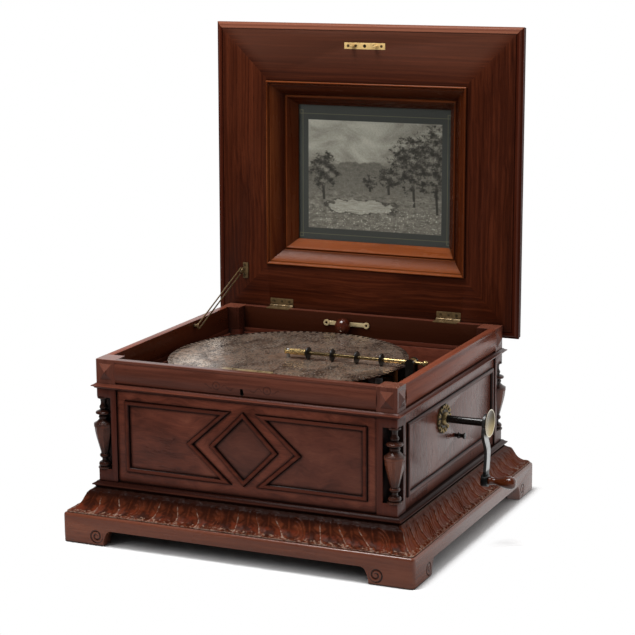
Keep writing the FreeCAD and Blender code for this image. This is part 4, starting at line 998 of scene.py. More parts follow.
@dataclass(frozen=True)
class CatchBrass(Metal):
    """Brass of the catch plate, with painted shade in the slot at its middle."""

    slot: float = 0.0032
    black: Colour = (0.01, 0.007, 0.004)

    def tint(self, graph: Graph, colour: Socket) -> Socket:
        """Paints shade in the slot.

        Args:
            graph: the material.
            colour: the plain metal's.

        Returns:
            The marked colour.
        """
        x, _, z = graph.place()
        centre = middle("catch_plate")
        dx, dz = x - centre.x, z - centre.z
        open_by = 1 - (dx * dx + dz * dz).root().ease(0.8 * self.slot, self.slot)
        return graph.blend(open_by, colour, self.black)


@dataclass(frozen=True)
class DishBrass(Metal):
    """Brass of the crank's dished hub, with a painted dark reflection above and a painted highlight on its
    rim.
    """

    rim: Span = (0.02, 0.0208)
    turn: Span = (-0.015, 0.015)
    # brown: painted dark reflection; white: painted highlight on the rim
    brown: Colour = (0.03, 0.0205, 0.01)
    white: Colour = (0.74, 0.68, 0.54)

    def tint(self, graph: Graph, colour: Socket) -> Socket:
        """Paints a dark reflection on the upper part of the dish and a highlight on its rim.

        Args:
            graph: the material.
            colour: the plain metal's.

        Returns:
            The marked colour.
        """
        _, y, z = graph.place()
        centre = middle("crank_hub")
        dy, dz = y - centre.y, z - centre.z
        painted_dark_reflection = (dz + dy * 0.25).ease(*self.turn)
        colour = graph.blend(painted_dark_reflection * 0.9, colour, self.brown)
        return graph.blend((dy * dy + dz * dz).root().ease(*self.rim), colour, self.white)


@dataclass(frozen=True)
class CrankSteel(Metal):
    """Steel of the crank arm, with painted shade on its edges and black on its lower boss."""

    boss: Span = (0.024, 0.028)
    # edges: painted shade on the arm's side faces
    edges: float = 0.85
    black: Colour = (0.018, 0.019, 0.019)

    def tint(self, graph: Graph, colour: Socket) -> Socket:
        """Blackens the boss and paints shade on the edges.

        Args:
            graph: the material.
            colour: the plain metal's.

        Returns:
            The marked colour.
        """
        _, _, z = graph.place()
        nx, _, _ = graph.facing()
        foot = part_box("crank_arm")[0].z
        low = 1 - z.ease(*(foot + level for level in self.boss))
        return graph.blend(low.most((abs(nx) < 0.5) * self.edges), colour, self.black)


@dataclass(frozen=True)
class CastBrass(Metal):
    """Cast brass, black in its ground and rubbed bright on its raised leaves."""

    black: Colour = (0.006, 0.004, 0.003)
    crest: Span = (0.25, 0.85)

    def tint(self, graph: Graph, colour: Socket) -> Socket:
        """Blackens the ground, by the cast height kept on the mesh."""
        return graph.blend((1 - graph.kept("height").ease(*self.crest)) * 0.95, colour, self.black)


@dataclass(frozen=True)
class DiscSteel:
    """Aged steel disc with rings of punched slots, painted glints and highlights, and painted shade in its
    holes.
    """

    name: str
    steel: Colour = (0.67, 0.525, 0.405)
    brown: Colour = (0.33, 0.182, 0.112)
    # slot: dark specks, and painted shade in the holes; glint: painted glints and highlights
    slot: Colour = (0.014, 0.01, 0.008)
    glint: Colour = (0.8, 0.69, 0.58)
    stain: Colour = (0.092, 0.052, 0.034)
    track: float = 0.0026
    slot_length: float = 0.0066
    first: float = 0.034
    last: float = 0.181
    share: float = 0.44
    edge_holes: int = 108
    edge: float = 0.188
    opening: Span = (0.14, 0.66)
    lip_end: float = 0.9
    half_width: float = 0.34
    relief: float = 0.0007

    def material(self) -> Material:
        """Makes the material.

        Returns:
            The finished material.
        """
        graph = Graph.named(self.name)
        x, y, _ = graph.place()
        centre = middle("spindle")
        dx, dy = x - centre.x, y - centre.y
        radius = (dx * dx + dy * dy).root()
        around = dy.angle(dx) / (2 * math.pi) + 0.5
        ring = (radius / self.track).floor()
        count = (ring * (self.track * 2 * math.pi / self.slot_length)).floor()
        slide = graph.chance(ring, 3.7, 0.0)
        cell = around * count + slide
        throw = graph.chance(ring, cell.floor(), 1.3)
        along, across = cell.part(), (radius / self.track).part()
        crowd = graph.noise((x * 150.0, y * 75.0, 6.1), 2.0, 0.5).ease(0.38, 0.62)
        punched = (throw < self.share * (0.35 + crowd * 1.5)) * (radius > self.first) * (radius < self.last)
        in_track = punched * (abs(across - 0.5) < self.half_width)
        start, end = self.opening
        opening = in_track * (along > start) * (along < end)
        turned_lip = in_track * (along > end) * (along < self.lip_end)
        notch = (abs((around * self.edge_holes).part() - 0.5) > 0.27) * (radius > self.edge)
        mottle = graph.noise((x * 42.0, y * 42.0, 0.4), 5.0, 0.62, 0.6)
        blotch = graph.noise((x * 11.0, y * 11.0, 2.1), 3.0, 0.5, 0.8)
        speck = graph.noise((x * 240.0, y * 110.0, 4.6), 2.0, 0.6).ease(0.53, 0.63)
        spark = graph.noise((x * 260.0, y * 120.0, 9.2), 2.0, 0.6).ease(0.58, 0.68)
        age = mottle.ease(0.36, 0.68) * 0.55 + blotch.ease(0.4, 0.66) * 0.45
        colour = graph.blend(age, self.steel, self.brown)
        stain = graph.noise((x * 26.0, y * 15.0, 7.7), 4.0, 0.6, 0.9)
        colour = graph.blend(stain.ease(0.48, 0.64) * 0.8, colour, self.stain)
        # Painted sheen and glints.
        colour = graph.blend((1 - stain.ease(0.3, 0.46)) * 0.45, colour, self.glint)
        colour = graph.blend(spark * 0.45, colour, self.glint)
        colour = graph.blend(speck * 0.62, colour, self.slot)
        # Painted highlight on the turned lips.
        colour = graph.blend(turned_lip * 0.7, colour, self.glint)
        # Painted shade seen through the slots and edge notches.
        holes = opening.most(notch)
        colour = graph.blend(holes, colour, self.slot)
        brushed = graph.noise((radius * 1800.0, around * 30.0, 0.0), 2.0)
        dents = graph.noise((x * 60.0, y * 60.0, 1.0), 2.0)
        height = turned_lip - opening + brushed * 0.12 + dents * 1.7
        return graph.surface({
            "Base Color": colour,
            "Metallic": 0.9 - holes * 0.7 - age * 0.2 - speck * 0.2,
            "Roughness": 0.2 + age * 0.2 + (brushed - 0.5) * 0.1 + speck * 0.2,
            "Normal": graph.bump(height, self.relief, 0.6),
        })


@dataclass(frozen=True)
class Glazing:
    """Clear old picture glass, seen by its gloss only."""

    name: str
    gloss: float = 0.55

    def material(self) -> Material:
        """Makes the material.

        Returns:
            The finished material.
        """
        graph = Graph.named(self.name)
        x, _, z = graph.place()
        wave = graph.noise((x * 9.0, 0.0, z * 9.0), 1.0)
        normal = graph.bump(wave, 0.0008, 0.2)
        fresnel = graph.field("ShaderNodeFresnel", None, {"IOR": 1.45, "Normal": normal})
        clear = graph.node("ShaderNodeBsdfTransparent", None, {"Color": (0.95, 0.965, 0.955)})
        gleam = graph.node("ShaderNodeBsdfAnisotropic", None, {"Roughness": 0.06, "Normal": normal})
        sockets = {0: fresnel * self.gloss, 1: clear.outputs[0], 2: gleam.outputs[0]}
        mixed = graph.node("ShaderNodeMixShader", None, sockets)
        return graph.end(mixed)


@dataclass(frozen=True)
class LandscapePrint:
    """Sepia print of hills, trees and a pond on a slate mount with a thin ruled border."""

    name: str
    left: float = -0.1615
    right: float = 0.0886
    low: float = 0.43
    high: float = 0.6205
    rule: float = 0.0105
    rule_line: float = 0.0008
    corner: float = 0.0028
    square: Span = (0.003, 0.0011)
    border: float = 0.0066
    trees: tuple[tuple[float, float, float, float, float], ...] = (
        (0.8, 0.24, 0.64, 0.19, 1.0),
        (0.97, 0.18, 0.78, 0.16, 4.0),
        (0.12, 0.27, 0.42, 0.12, 7.0),
        (0.61, 0.34, 0.24, 0.08, 9.0),
        (0.47, 0.36, 0.16, 0.06, 12.0),
    )
    mount: Colour = (0.08, 0.079, 0.0735)
    line: Colour = (0.21, 0.19, 0.12)

    def scene(self, graph: Graph, u: Field, v: Field) -> Field:
        """Tone of the landscape.

        Args:
            graph: the material.
            u: place across the print, from 0 to 1.
            v: place up the print, from 0 to 1.

        Returns:
            The tone, 0 dark to 1 light.
        """
        soft = graph.noise((u * 3.1, v * 4.4, 0.7), 6.0, 0.6, 0.5)
        tone = 0.36 + v * 0.26 + (soft - 0.45) * 0.85 - u * 0.16
        ridge = graph.noise((u * 3.4, 4.2, 0.0), 4.0)
        hills = (ridge * 0.34 + 0.44 - v).ease(0.0, 0.02)
        woods = graph.noise((u * 34.0, v * 40.0, 1.4), 5.0, 0.7)
        tone = tone.under(hills, 0.14 + woods * 0.36 + (0.5 - v) * 0.2)
        bank = graph.noise((u * 6.0, 8.8, 0.0), 3.0)
        shore = (bank * 0.16 + 0.27 - v).ease(0.0, 0.02)
        scrub = graph.noise((u * 22.0, v * 34.0, 3.0), 6.0, 0.72)
        tone = tone.under(shore, scrub * 0.95 - 0.1)
        pond_across, pond_up = (u - 0.4) / 0.3, (v - 0.215) / 0.075
        edge = graph.noise((u * 11.0, v * 17.0, 2.2), 4.0, 0.6)
        far = (pond_across * pond_across + pond_up * pond_up).root() + (edge - 0.5) * 1.3
        pond = 1 - far.ease(0.78, 0.9)
        ripple = graph.noise((u * 13.0, v * 95.0, 5.0), 3.0)
        tone = tone * (1 - far.near(0.9, 0.12) * 0.45)
        glade = graph.noise((u * 5.0, v * 12.0, 4.1), 3.0)
        tone = tone.under(pond, 0.26 + ripple * 0.4 + glade * 0.22)
        for centre, base, tall, wide, seed in self.trees:
            edge = graph.noise((u * 17.0 + seed, v * 17.0, seed), 6.0, 0.72)
            across, up = (u - centre) / wide, (v - base - 0.62 * tall) / (0.42 * tall)
            crown = 1 - ((across * across + up * up).root() + (edge - 0.5) * 1.9).ease(0.72, 1.0)
            leaf = edge.ease(0.36, 0.7) * 0.5 + 0.03
            trunk = (abs(u - centre + (v - base) * 0.05) < 0.009) * (v > base) * (v < base + 0.5 * tall)
            tone = tone.under(trunk, 0.1).under(crown, leaf)
        rocks = graph.noise((u * 13.0, v * 21.0, 6.6), 3.0, 0.5).ease(0.58, 0.66)
        rocks = rocks * (v < 0.3) * (1 - pond)
        tone = tone.under(rocks, 0.44 + (scrub - 0.5) * 0.9)
        flowers = graph.noise((u * 70.0, v * 70.0, 8.0), 2.0).ease(0.6, 0.68)
        return tone + flowers * (v < 0.2) * 0.38

    def material(self) -> Material:
        """Makes the material.

        Returns:
            The finished material.
        """
        graph = Graph.named(self.name)
        x, _, z = graph.place()
        u = (x - self.left) / (self.right - self.left)
        v = (z - self.low) / (self.high - self.low)
        inside = (u > 0.0) * (u < 1.0) * (v > 0.0) * (v < 1.0)
        fleck = graph.noise((x * 330.0, 0.0, z * 330.0), 4.0, 0.65)
        tone = (self.scene(graph, u, v) - 0.34) * 1.15 + 0.5 + (fleck - 0.5) * 0.3
        paper = graph.ramp(tone, [(0.0, (0.014, 0.0115, 0.0098)), (0.3, (0.082, 0.0705, 0.06)),
                                  (0.6, (0.285, 0.252, 0.214)), (1.0, (0.7, 0.65, 0.57))])
        grain = graph.noise((x * 700.0, 0.0, z * 700.0), 3.0)
        mount = graph.blend(grain * 0.5, self.mount, shade(self.mount, 0.7))
        out_x = abs(x - (self.left + self.right) / 2) - (self.right - self.left) / 2 - self.rule
        out_z = abs(z - (self.low + self.high) / 2) - (self.high - self.low) / 2 - self.rule
        ruled = out_x.near(0.0, self.rule_line) + out_z.near(0.0, self.rule_line)
        corner_x, corner_z = abs(out_x - self.corner), abs(out_z - self.corner)
        square = corner_x.most(corner_z).near(*self.square)
        within = (out_x < self.border) * (out_z < self.border)
        colour = graph.blend((ruled + square).least(1.0) * within * 0.75, mount, self.line)
        colour = graph.blend(inside, colour, paper)
        return graph.surface({
            "Base Color": colour,
            "Roughness": 0.62 + grain * 0.2,
            "Normal": graph.bump(grain, 0.0001, 0.3),
        })


@lru_cache(maxsize=None)
def finish_of(finish: Any) -> Material:
    """The material of a finish, made once."""
    return finish.material()


class Cut(Enum):
    """What a cutter does to a piece."""

    AWAY = "DIFFERENCE"
    JOINED = "UNION"
    WITHIN = "INTERSECT"


class Pick(Enum):
    """What is picked on a mesh."""

    POINTS = "VERT"
    EDGES = "EDGE"


class Bench:
    """Modelling operators, used on one object at a time."""

    merge: float = 1e-6

    @staticmethod
    def clear() -> None:
        """Deselects everything."""
        bpy.ops.object.select_all(action="DESELECT")

    @staticmethod
    def take(*pieces: Piece) -> None:
        """Selects some pieces alone.

        Args:
            pieces: the pieces; the first becomes active.
        """
        Bench.clear()
        for piece in pieces:
            piece.select_set(True)
        bpy.context.view_layer.objects.active = pieces[0]

    @staticmethod
    @contextmanager
    def editing(piece: Piece) -> Iterator[None]:
        """Opens a piece in edit mode with all of it selected, and closes it again.

        Args:
            piece: the object.

        Yields:
            Nothing, while it is open.
        """
        Bench.take(piece)
        bpy.ops.object.mode_set(mode="EDIT")
        bpy.ops.mesh.select_all(action="SELECT")
        yield
        bpy.ops.object.mode_set(mode="OBJECT")

    @staticmethod
    def pick(piece: Piece, kind: Pick, chosen: Callable[[Any], bool]) -> None:
        """Selects points or edges of a piece.

        Args:
            piece: the object.
            kind: what is picked.
            chosen: says of one point or edge whether it is selected.
        """
        with Bench.editing(piece):
            bpy.ops.mesh.select_mode(type=kind.value)
            bpy.ops.mesh.select_all(action="DESELECT")
        for item in piece.data.vertices if kind is Pick.POINTS else piece.data.edges:
            item.select = chosen(item)

    @staticmethod
    def copy_of(node: str, name: str) -> Piece:
        """A merged copy of a CAD node.

        Args:
            node: the node.
            name: the copy's name.

        Returns:
            The copy, with no finish and no body yet.
        """
        piece = bpy.data.objects.new(name, frame["nodes"][node].data.copy())
        piece.data.name = name
        bpy.context.scene.collection.objects.link(piece)
        piece.data.materials.clear()
        Bench.take(piece)
        bpy.ops.mesh.customdata_custom_splitnormals_clear()
        with Bench.editing(piece):
            bpy.ops.mesh.remove_doubles(threshold=2 * Bench.merge)
        return piece

    @staticmethod
    def flatten(piece: Piece, limit: float = 0.4) -> None:
        """Joins the triangles of each flat face; limit is in degrees."""
        with Bench.editing(piece):
            bpy.ops.mesh.dissolve_limited(angle_limit=math.radians(limit))

    @staticmethod
    def apply(piece: Piece, kind: str, **settings: Any) -> None:
        """Adds a modifier and applies it.

        Args:
            piece: the object.
            kind: the modifier's type.
            settings: its properties.
        """
        modifier = piece.modifiers.new(kind.lower(), kind)
        for key, value in settings.items():
            setattr(modifier, key, value)
        Bench.take(piece)
        bpy.ops.object.modifier_apply(modifier=modifier.name)

    @staticmethod
    def round_edges(piece: Piece, width: float) -> None:
        """Rounds the sharp edges of a piece by a width in metres."""
        Bench.apply(piece, "BEVEL", width=width, segments=2, limit_method="ANGLE",
                    angle_limit=math.radians(SHARP), use_clamp_overlap=True)

    @staticmethod
    def bevel_where(piece: Piece, pick: Callable[[Vector, Vector], bool], width: float) -> None:
        """Rounds chosen edges.

        Args:
            piece: the object.
            pick: says from an edge's two ends whether it is rounded.
            width: the rounding, in metres.
        """
        points = piece.data.vertices
        Bench.pick(piece, Pick.EDGES, lambda edge: pick(*(points[end].co for end in edge.vertices)))
        bpy.ops.object.mode_set(mode="EDIT")
        bpy.ops.mesh.bevel(offset=width, segments=4, affect="EDGES")
        bpy.ops.object.mode_set(mode="OBJECT")

    @staticmethod
    def smooth(piece: Piece, degrees: float = SHARP) -> None:
        """Smooths a piece, keeping edges sharper than an angle."""
        Bench.take(piece)
        bpy.ops.object.shade_smooth_by_angle(angle=math.radians(degrees))

    @staticmethod
    def outwards(piece: Piece) -> None:
        """Merges doubles and turns all faces outwards.

        Args:
            piece: the object.
        """
        with Bench.editing(piece):
            bpy.ops.mesh.remove_doubles(threshold=Bench.merge)
            bpy.ops.mesh.normals_make_consistent(inside=False)

    @staticmethod
    def sheet(name: str, places: np.ndarray) -> Piece:
        """A grid of quads, shaped point by point.

        Args:
            name: the piece's name.
            places: one place for each point, row by row.

        Returns:
            The open sheet.
        """
        Bench.clear()
        rows, columns = places.shape[:2]
        bpy.ops.mesh.primitive_grid_add(x_subdivisions=columns - 1, y_subdivisions=rows - 1, size=1.0)
        piece = bpy.context.active_object
        piece.name = name
        piece.data.name = name
        piece.data.vertices.foreach_set("co", places.astype(np.float32).ravel())
        piece.data.update()
        return piece

    @staticmethod
    def ring(name: str, places: np.ndarray, height: np.ndarray) -> Piece:
        """A closed ring of quads.

        Args:
            name: the piece's name.
            places: its points, section by section.
            height: carved height of each point, kept on the mesh for its finish.

        Returns:
            The ring, its last row and column joined to the first.
        """
        piece = Bench.sheet(name, Bench.close(places))
        kept = piece.data.attributes.new("height", "FLOAT", "POINT")
        kept.data.foreach_set("value", Bench.close(height).astype(np.float32).ravel())
        Bench.outwards(piece)
        return piece

    @staticmethod
    def close(values: np.ndarray) -> np.ndarray:
        """Repeats the first row and column of a grid after the last."""
        closed = np.concatenate([values, values[:1]], axis=0)
        return np.concatenate([closed, closed[:, :1]], axis=1)

    @staticmethod
    def tube(name: str, places: np.ndarray) -> Piece:
        """A closed tube.

        Args:
            name: the piece's name.
            places: its points, ring by ring.

        Returns:
            The tube, with its ends filled.
        """
        piece = Bench.sheet(name, np.concatenate([places, places[:, :1]], axis=1))
        with Bench.editing(piece):
            bpy.ops.mesh.remove_doubles(threshold=Bench.merge)
            bpy.ops.mesh.fill_holes(sides=0)
        Bench.outwards(piece)
        return piece

    @staticmethod
    def shift_where(piece: Piece, pick: Callable[[Vector], bool], by: Place) -> None:
        """Moves chosen points of a piece.

        Args:
            piece: the object.
            pick: says from a point's place whether it moves.
            by: how far, in metres.
        """
        Bench.pick(piece, Pick.POINTS, lambda point: pick(point.co))
        bpy.ops.object.mode_set(mode="EDIT")
        bpy.ops.transform.translate(value=by)
        bpy.ops.object.mode_set(mode="OBJECT")

    @staticmethod
    def block(low: Vector, high: Vector) -> Piece:
        """A plain block for cutting with.

        Args:
            low: its lowest corner.
            high: its highest corner.

        Returns:
            The block.
        """
        Bench.clear()
        bpy.ops.mesh.primitive_cube_add(size=1.0, location=(low + high) / 2, scale=high - low)
        bpy.ops.object.transform_apply(location=True, rotation=True, scale=True)
        return bpy.context.active_object

    @staticmethod
    def cut(piece: Piece, cutter: Piece, way: Cut = Cut.AWAY) -> None:
        """Cuts a piece with a block or tube that is then thrown away.

        Args:
            piece: the object.
            cutter: what it is cut with.
            way: what the cutter does.
        """
        Bench.apply(piece, "BOOLEAN", operation=way.value, object=cutter, solver="EXACT")
        bpy.data.objects.remove(cutter)

    @staticmethod
    def screws(name: str, places: list[tuple[Place, Place]], radius: float) -> Piece:
        """Slotted screw heads, modelled once and copied.

        Args:
            name: the piece's name.
            places: each head's place and the way it faces.
            radius: the head's radius.

        Returns:
            All the heads as one piece.
        """
        Bench.clear()
        thick = 0.5 * radius
        bpy.ops.mesh.primitive_cylinder_add(vertices=20, radius=radius, depth=thick, location=(0, 0, 0))
        head = bpy.context.active_object

        def on_top_rim(a: Vector, b: Vector) -> bool:
            """Says whether an edge runs round the head's top."""
            return a.z > 0 and b.z > 0 and (a - b).length < 0.5 * radius

        Bench.bevel_where(head, on_top_rim, 0.22 * radius)
        Bench.clear()
        bpy.ops.mesh.primitive_cube_add(size=1, location=(0, 0, 0.25 * radius),
                                        scale=(2.6 * radius, 0.34 * radius, 0.26 * radius))
        Bench.cut(head, bpy.context.active_object)
        heads = []
        for index, (place, out) in enumerate(places):
            copy = bpy.data.objects.new(f"{name}_{index}", head.data.copy())
            bpy.context.scene.collection.objects.link(copy)
            turn = Vector((0, 0, 1)).rotation_difference(Vector(out)).to_matrix().to_4x4()
            own = Matrix.Rotation(0.7 + 1.9 * index, 4, "Z")
            copy.data.transform(Matrix.Translation(Vector(place)) @ turn @ own)
            heads.append(copy)
        bpy.data.objects.remove(head)
        Bench.take(*heads)
        bpy.ops.object.join()
        heads[0].name = name
        heads[0].data.name = name
        Bench.smooth(heads[0])
        return heads[0]


BODY_OF = {node: body for body, nodes in frame["record"]["behaviour"]["bodies"].items() for node in nodes}

CASE_ACROSS = CaseRail("case_timber_across", Grain.ACROSS, gloss=0.12, share=0.9)
# Paler than the case timber across the front and back: painted sheen of the side friezes.
CASE_DEPTH = CaseRail(
    "case_timber_depth", Grain.DEPTH, dark=(0.07, 0.0155, 0.0076), body=(0.18, 0.0462, 0.0238),
    light=(0.272, 0.08, 0.0425), gloss=0.09, rough=0.28, inner=(0.034, 0.0064, 0.0016), share=0.9,
)
POST_TIMBER = Timber(
    "post_timber", Grain.UPRIGHT, dark=(0.022, 0.004, 0.0022), body=(0.066, 0.014, 0.0076),
    light=(0.112, 0.027, 0.0142), crevice_shade=1.0, crevice=0.04, shut_in=(0.22, 0.58), rubbed=0.45,
)
BLOCK_TIMBER = BlockTimber(
    "block_timber", Grain.UPRIGHT, dark=(0.046, 0.0115, 0.0064), body=(0.104, 0.0295, 0.0175),
    light=(0.165, 0.051, 0.03), gloss=0.34, rough=0.28,
)
CASE_RING = Timber(
    "case_timber_mitred", Grain.CASE_RING, dark=(0.024, 0.005, 0.0027), body=(0.074, 0.0175, 0.0092),
    light=(0.128, 0.034, 0.018), rubbed=0.5,
)
LOWER_RING = Timber(
    "lower_timber_mitred", Grain.CASE_RING, dark=(0.009, 0.0022, 0.0013), body=(0.022, 0.0056, 0.0034),
    light=(0.058, 0.017, 0.01), gloss=0.07, shine=0.0, rubbed=0.65,
)
FOOT_TIMBER = FootTimber(
    "foot_timber", Grain.CASE_RING, dark=(0.07, 0.017, 0.0076), body=(0.142, 0.038, 0.0176),
    light=(0.212, 0.064, 0.03), gloss=0.66, rough=0.25, rubbed=0.12,
)
FRONT_RAIL = FrontRail(
    "front_rail_timber", Grain.ACROSS, body=(0.104, 0.0285, 0.0162), light=(0.166, 0.05, 0.0285),
)
CARVED_TIMBER = CarvedTimber(
    "carved_timber", Grain.CASE_RING, dark=(0.034, 0.0066, 0.0026), body=(0.1, 0.022, 0.008),
    light=(0.165, 0.04, 0.0145), crevice_shade=1.0, rough=0.4, shine=0.0, gloss=0.06, rubbed=0.0,
)
VENEER_FRONT = FrontVeneer(
    "veneer_front", Grain.ACROSS, dark=(0.052, 0.0112, 0.0056), body=(0.142, 0.035, 0.0187),
    light=(0.215, 0.062, 0.034), crevice_shade=1.0, crevice=0.005, shut_in=(0.0, 0.42),
)
VENEER_BACK = Burl(
    "veneer_back", Grain.ACROSS, dark=(0.046, 0.01, 0.0052), body=(0.12, 0.031, 0.0172),
    light=(0.186, 0.055, 0.031),
)
VENEER_SIDE = Timber(
    "veneer_side", Grain.UPRIGHT, dark=(0.056, 0.013, 0.0074), body=(0.122, 0.033, 0.019),
    light=(0.19, 0.057, 0.034), pitch=150.0, gloss=0.55, rough=0.28, ripple=1.0,
)
BEAD_TIMBER = BeadTimber(
    "bead_timber", Grain.ACROSS, dark=(0.016, 0.003, 0.0016), body=(0.053, 0.0108, 0.0054),
    light=(0.115, 0.028, 0.0145), gloss=0.18, crevice=0.006, shut_in=(0.0, 0.42), crevice_shade=1.0, rubbed=0.5,
)
TURNED_TIMBER = TurnedTimber(
    "turned_timber", Grain.UPRIGHT, dark=(0.018, 0.004, 0.002), body=(0.094, 0.0255, 0.0126),
    light=(0.225, 0.074, 0.04), crevice_shade=1.0, rough=0.24, crevice=0.02, shut_in=(0.12, 0.56), gloss=0.4,
)
BOARD_TIMBER = Timber(
    "board_timber", Grain.ACROSS, dark=(0.05, 0.019, 0.009), body=(0.115, 0.045, 0.022),
    light=(0.17, 0.074, 0.038), shine=0.02, rough=0.6,
)
LID_TIMBER = LidTimber(
    "lid_timber", Grain.LID_RING, dark=(0.013, 0.002, 0.0007), body=(0.04, 0.0074, 0.0022),
    light=(0.086, 0.018, 0.0056), gloss=0.13, shine=0.0, pitch=230.0, cloud=0.36, crevice_shade=0.9, crevice=0.018,
)
LID_EDGE = LidEdge(
    "lid_edge_timber", Grain.LID_RING, dark=(0.017, 0.0026, 0.001), body=(0.04, 0.0066, 0.0024),
    light=(0.074, 0.015, 0.0052), gloss=0.08, shine=0.0, rubbed=0.4,
)
LID_TOP = Timber("lid_top_timber", Grain.ACROSS)
PICTURE_TIMBER = PictureTimber(
    "picture_timber", Grain.PICTURE_RING, dark=(0.022, 0.0036, 0.0009), body=(0.094, 0.0196, 0.0043),
    light=(0.196, 0.052, 0.013), crevice_shade=1.0, rough=0.26, gloss=0.11, shine=0.0, crevice=0.02, rubbed=0.85,
    # up, down, share and sides: painted light and shade on the moulding's faces
    up=(0.19, 0.048, 0.0115), down=(0.017, 0.0024, 0.0006), share=0.6, sides=0.52,
)
GRIP_TIMBER = Timber(
    "grip_timber", Grain.ACROSS, dark=(0.026, 0.0046, 0.0014), body=(0.08, 0.016, 0.0044),
    light=(0.14, 0.035, 0.01), rough=0.1, gloss=0.5, shine=0.3, rubbed=0.0,
)
KNOB_TIMBER = Timber(
    "knob_timber", Grain.DEPTH, dark=(0.012, 0.0022, 0.001), body=(0.05, 0.0094, 0.0036),
    light=(0.104, 0.0234, 0.0088), rough=0.12, gloss=0.5, shine=0.35, rubbed=0.0,
)
BRASS = Metal("brass", (0.8, 0.64, 0.36), (0.32, 0.215, 0.098), rough=0.3, metallic=0.45)
LOCK_BRASS = LockBrass("lock_brass", (0.4, 0.29, 0.15), (0.09, 0.055, 0.026), metallic=0.5, patch=120.0)
PLATE_BRASS = CatchBrass("plate_brass", (0.84, 0.57, 0.235), (0.34, 0.205, 0.08), metallic=0.35)
DARK_BRASS = Metal("dark_brass", (0.19, 0.122, 0.055), (0.038, 0.023, 0.011), metallic=0.55, patch=160.0)
BAR_BRASS = BarBrass(
    "bar_brass", (0.62, 0.44, 0.19), (0.04, 0.026, 0.011), rough=0.2, metallic=0.85, patch=120.0,
)
CAST_BRASS = CastBrass(
    "cast_brass", (0.42, 0.3, 0.13), (0.09, 0.058, 0.024), rough=0.28, tarnish=1.6, metallic=0.75,
)
SCREW_BRASS = Metal("screw_brass", (0.12, 0.08, 0.036), (0.02, 0.013, 0.007), metallic=0.6)
POLISHED_BRASS = DishBrass(
    "polished_brass", (0.44, 0.345, 0.175), (0.26, 0.195, 0.092), rough=0.18, patch=24.0,
)
GEAR_BRASS = Metal("gear_brass", (0.58, 0.4, 0.15), (0.13, 0.078, 0.03), rough=0.36)
BRIGHT_STEEL = Metal("bright_steel", (0.38, 0.375, 0.365), (0.12, 0.108, 0.095), rough=0.3, metallic=0.85)
CRANK_STEEL = CrankSteel("crank_steel", (0.52, 0.525, 0.52), (0.24, 0.232, 0.22), metallic=0.8)
ROLLER_IRON = Metal("roller_iron", (0.004, 0.0034, 0.0028), (0.009, 0.007, 0.005), metallic=0.0)
BLACK_IRON = Metal(
    "black_iron", (0.009, 0.008, 0.007), (0.018, 0.014, 0.011), rough=0.26, metallic=0.2, shine=0.12,
)
DISC_STEEL = DiscSteel("disc_steel")
PICTURE_GLASS = Glazing("picture_glass")
PICTURE_PRINT = LandscapePrint("picture_print")


